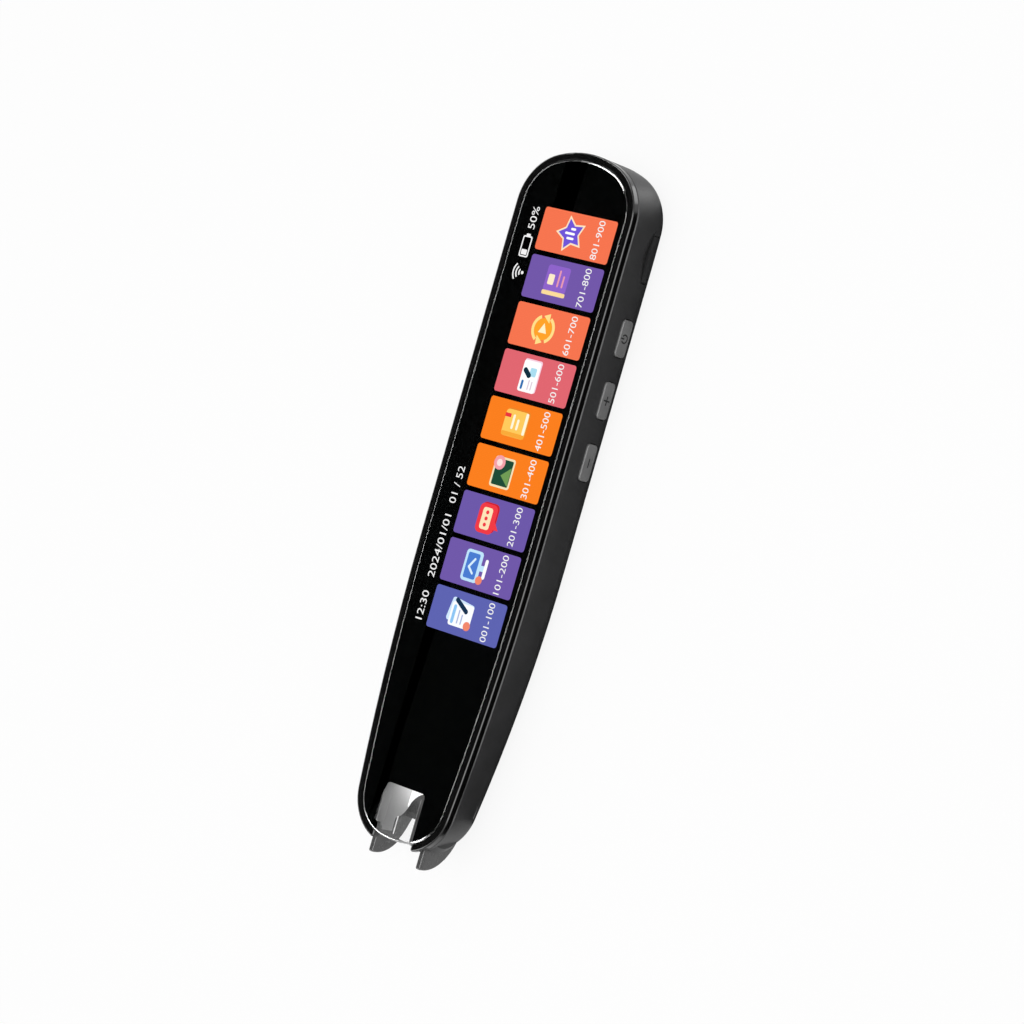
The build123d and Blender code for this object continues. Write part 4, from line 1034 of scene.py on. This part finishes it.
FLOOR_SIZE = (6, 6)
FLOOR_DROP = 0.1 * MM  # below the lowest point of the pen
FLOOR_GLOW = 0.9  # share of the floor's look that is plain white, the rest takes shadows
ROOM_FILL = 0.6  # light that the room sends to matt surfaces
ROOM_WHITE = 1.0  # brightness of the room where it is seen
UNDER_PEN = 0.3 * MM  # height of the cards that lie under the pen and face up
UPWARDS = (0, 0, 1)
WHITE = (1, 1, 1, 1)
BLACK_CARDS = (  # name, centre, size, and facing where it isn't the middle of the pen
    ("black_card", (-0.163, -0.003, 0.473), (0.675, 0.7), None),  # behind the flat glass
    ("side_black_card", (0.016, 0.003, UNDER_PEN), (0.032, 0.135), UPWARDS),  # key side's foot
    ("nose_black_card", (0.0245, -0.069, UNDER_PEN), (0.017, 0.016), UPWARDS),  # nose's foot
)
BRIGHT_CARDS = (  # the same, with the radiance before the facing
    ("edge_card", (0.460, 0, 0.195), (1.19, 0.54), 4.4, None),  # line on the key side
    ("left_card", (-0.47, 0, 0.171), (0.32, 0.7), 2.5, None),  # line on the far side
    ("top_card", (-0.105, 0.295, 0.252), (0.24, 0.18), 6.5, None),  # arc at the top end
    ("nose_line_card", (-0.272, -0.267, 0.122), (0.12, 0.16), 6.5, None),  # arc at the nose
    ("nose_patch_card", (-0.092, -0.309, 0.237), (0.12, 0.26), 5.5, None),  # its bright end
    ("corner_card", (0.0165, 0.0775, UNDER_PEN), (0.009, 0.006), 2.4, UPWARDS),  # top end's foot
)
LAMP_PLACE = (0.02, 0.0, 0.7)
LAMP_AIM = (0, 0, 0)
LAMP_SIZE = (0.3, 0.6)
LAMP_RADIANCE = 3.5


def seen_rays(tree):
    """One where a ray comes from the camera, a reflection or a clear body."""
    rays = add_node(tree, "ShaderNodeLightPath").outputs
    seen = rays["Is Camera Ray"]
    for kind in ("Is Glossy Ray", "Is Transmission Ray"):
        both = add_node(tree, "ShaderNodeMath", {0: seen, 1: rays[kind]}, operation="MAXIMUM")
        seen = both.outputs[0]
    return seen


def card(name, material, centre, size, facing=None):
    """A rectangular card; it faces the origin where no facing is given."""
    mesh = bpy.data.meshes.new(name)
    form = bmesh.new()
    bmesh.ops.create_grid(form, x_segments=1, y_segments=1, size=0.5)
    form.to_mesh(mesh)
    form.free()
    mesh.materials.append(material)
    made = add_object(name, mesh)
    away = Vector(facing or centre).normalized()
    side = Vector((0, 1, 0)).cross(away).normalized()
    up = away.cross(side)
    made.matrix_world = (
        Matrix.Translation(centre)
        @ Matrix((side, up, away)).transposed().to_4x4()
        @ Matrix.Diagonal((size[0], size[1], 1, 1))
    )
    return made


def reflection_only(made):
    """Keeps a card out of sight, so that only reflections show it."""
    made.visible_camera = False
    made.visible_diffuse = False
    made.visible_transmission = False
    made.visible_shadow = False


# White paper: matt, with a faint mottle.
paper, tree, surface, place = start_material("white_paper", Roughness=0.9, Specular_IOR_Level=0.1)
speckle(tree, surface, place, grain=2 * MM, dark="f2f2f2", pale="f5f5f5", bump=0.01 * MM)
bright = add_node(tree, "ShaderNodeEmission", {"Color": WHITE, "Strength": 1.0})
share = add_node(tree, "ShaderNodeMath", {0: seen_rays(tree), 1: FLOOR_GLOW}, operation="MULTIPLY")
parts = {0: share.outputs[0], 1: surface.outputs[0], 2: bright.outputs[0]}
blend = add_node(tree, "ShaderNodeMixShader", parts)
tree.links.new(blend.outputs[0], tree.get_output_node("ALL").inputs["Surface"])
card("floor", paper, (0, 0, -FLOOR_DROP), FLOOR_SIZE)

# Black velvet: returns next to nothing.
velvet, tree, surface, place = start_material(
    "black_velvet", Roughness=1.0, Specular_IOR_Level=0.0
)
speckle(tree, surface, place, grain=1 * MM, dark="010101", pale="020202", bump=0.01 * MM)
for name, centre, size, facing in BLACK_CARDS:
    reflection_only(card(name, velvet, centre, size, facing))

# Bright cards: plain white light.
for name, centre, size, radiance, facing in BRIGHT_CARDS:
    glow = {"Emission_Color": WHITE, "Emission_Strength": radiance}
    light = start_material(name + "_light", Roughness=1.0, **glow)[0]
    reflection_only(card(name, light, centre, size, facing))

world = bpy.data.worlds.new("studio")
bpy.context.scene.world = world
world.use_nodes = True
world.node_tree.nodes.clear()
tree = world.node_tree
fill = add_node(tree, "ShaderNodeBackground", {"Color": WHITE, "Strength": ROOM_FILL})
white = add_node(tree, "ShaderNodeBackground", {"Color": WHITE, "Strength": ROOM_WHITE})
parts = {0: seen_rays(tree), 1: fill.outputs[0], 2: white.outputs[0]}
sky = add_node(tree, "ShaderNodeMixShader", parts)
add_node(tree, "ShaderNodeOutputWorld", {"Surface": sky.outputs[0]})

lamp = bpy.data.lights.new("overhead", "AREA")
lamp.shape = "RECTANGLE"
lamp.size, lamp.size_y = LAMP_SIZE
lamp.energy = LAMP_RADIANCE * math.pi * LAMP_SIZE[0] * LAMP_SIZE[1]
overhead = add_object("overhead", lamp)
overhead.location = LAMP_PLACE
away = Vector(LAMP_PLACE) - Vector(LAMP_AIM)
overhead.rotation_euler = away.to_track_quat("Z", "Y").to_euler()
overhead.visible_glossy = False

# ==== camera ==================================
# A plain camera with a long lens, above the key side of the pen.

SENSOR_WIDTH = 36  # millimetres, as is the lens
LENS = 124.51
CAMERA_PLACE = (0.462461, 0.008372, 0.572173)
CAMERA_TURN = (12.146, 37.556, 20.457)  # degrees

camera_data = bpy.data.cameras.new("camera")
camera_data.sensor_width = SENSOR_WIDTH
camera_data.lens = LENS
camera = add_object("camera", camera_data)
camera.location = CAMERA_PLACE
camera.rotation_euler = [math.radians(a) for a in CAMERA_TURN]
bpy.context.scene.camera = camera
bpy.context.scene.view_settings.view_transform = "Standard"
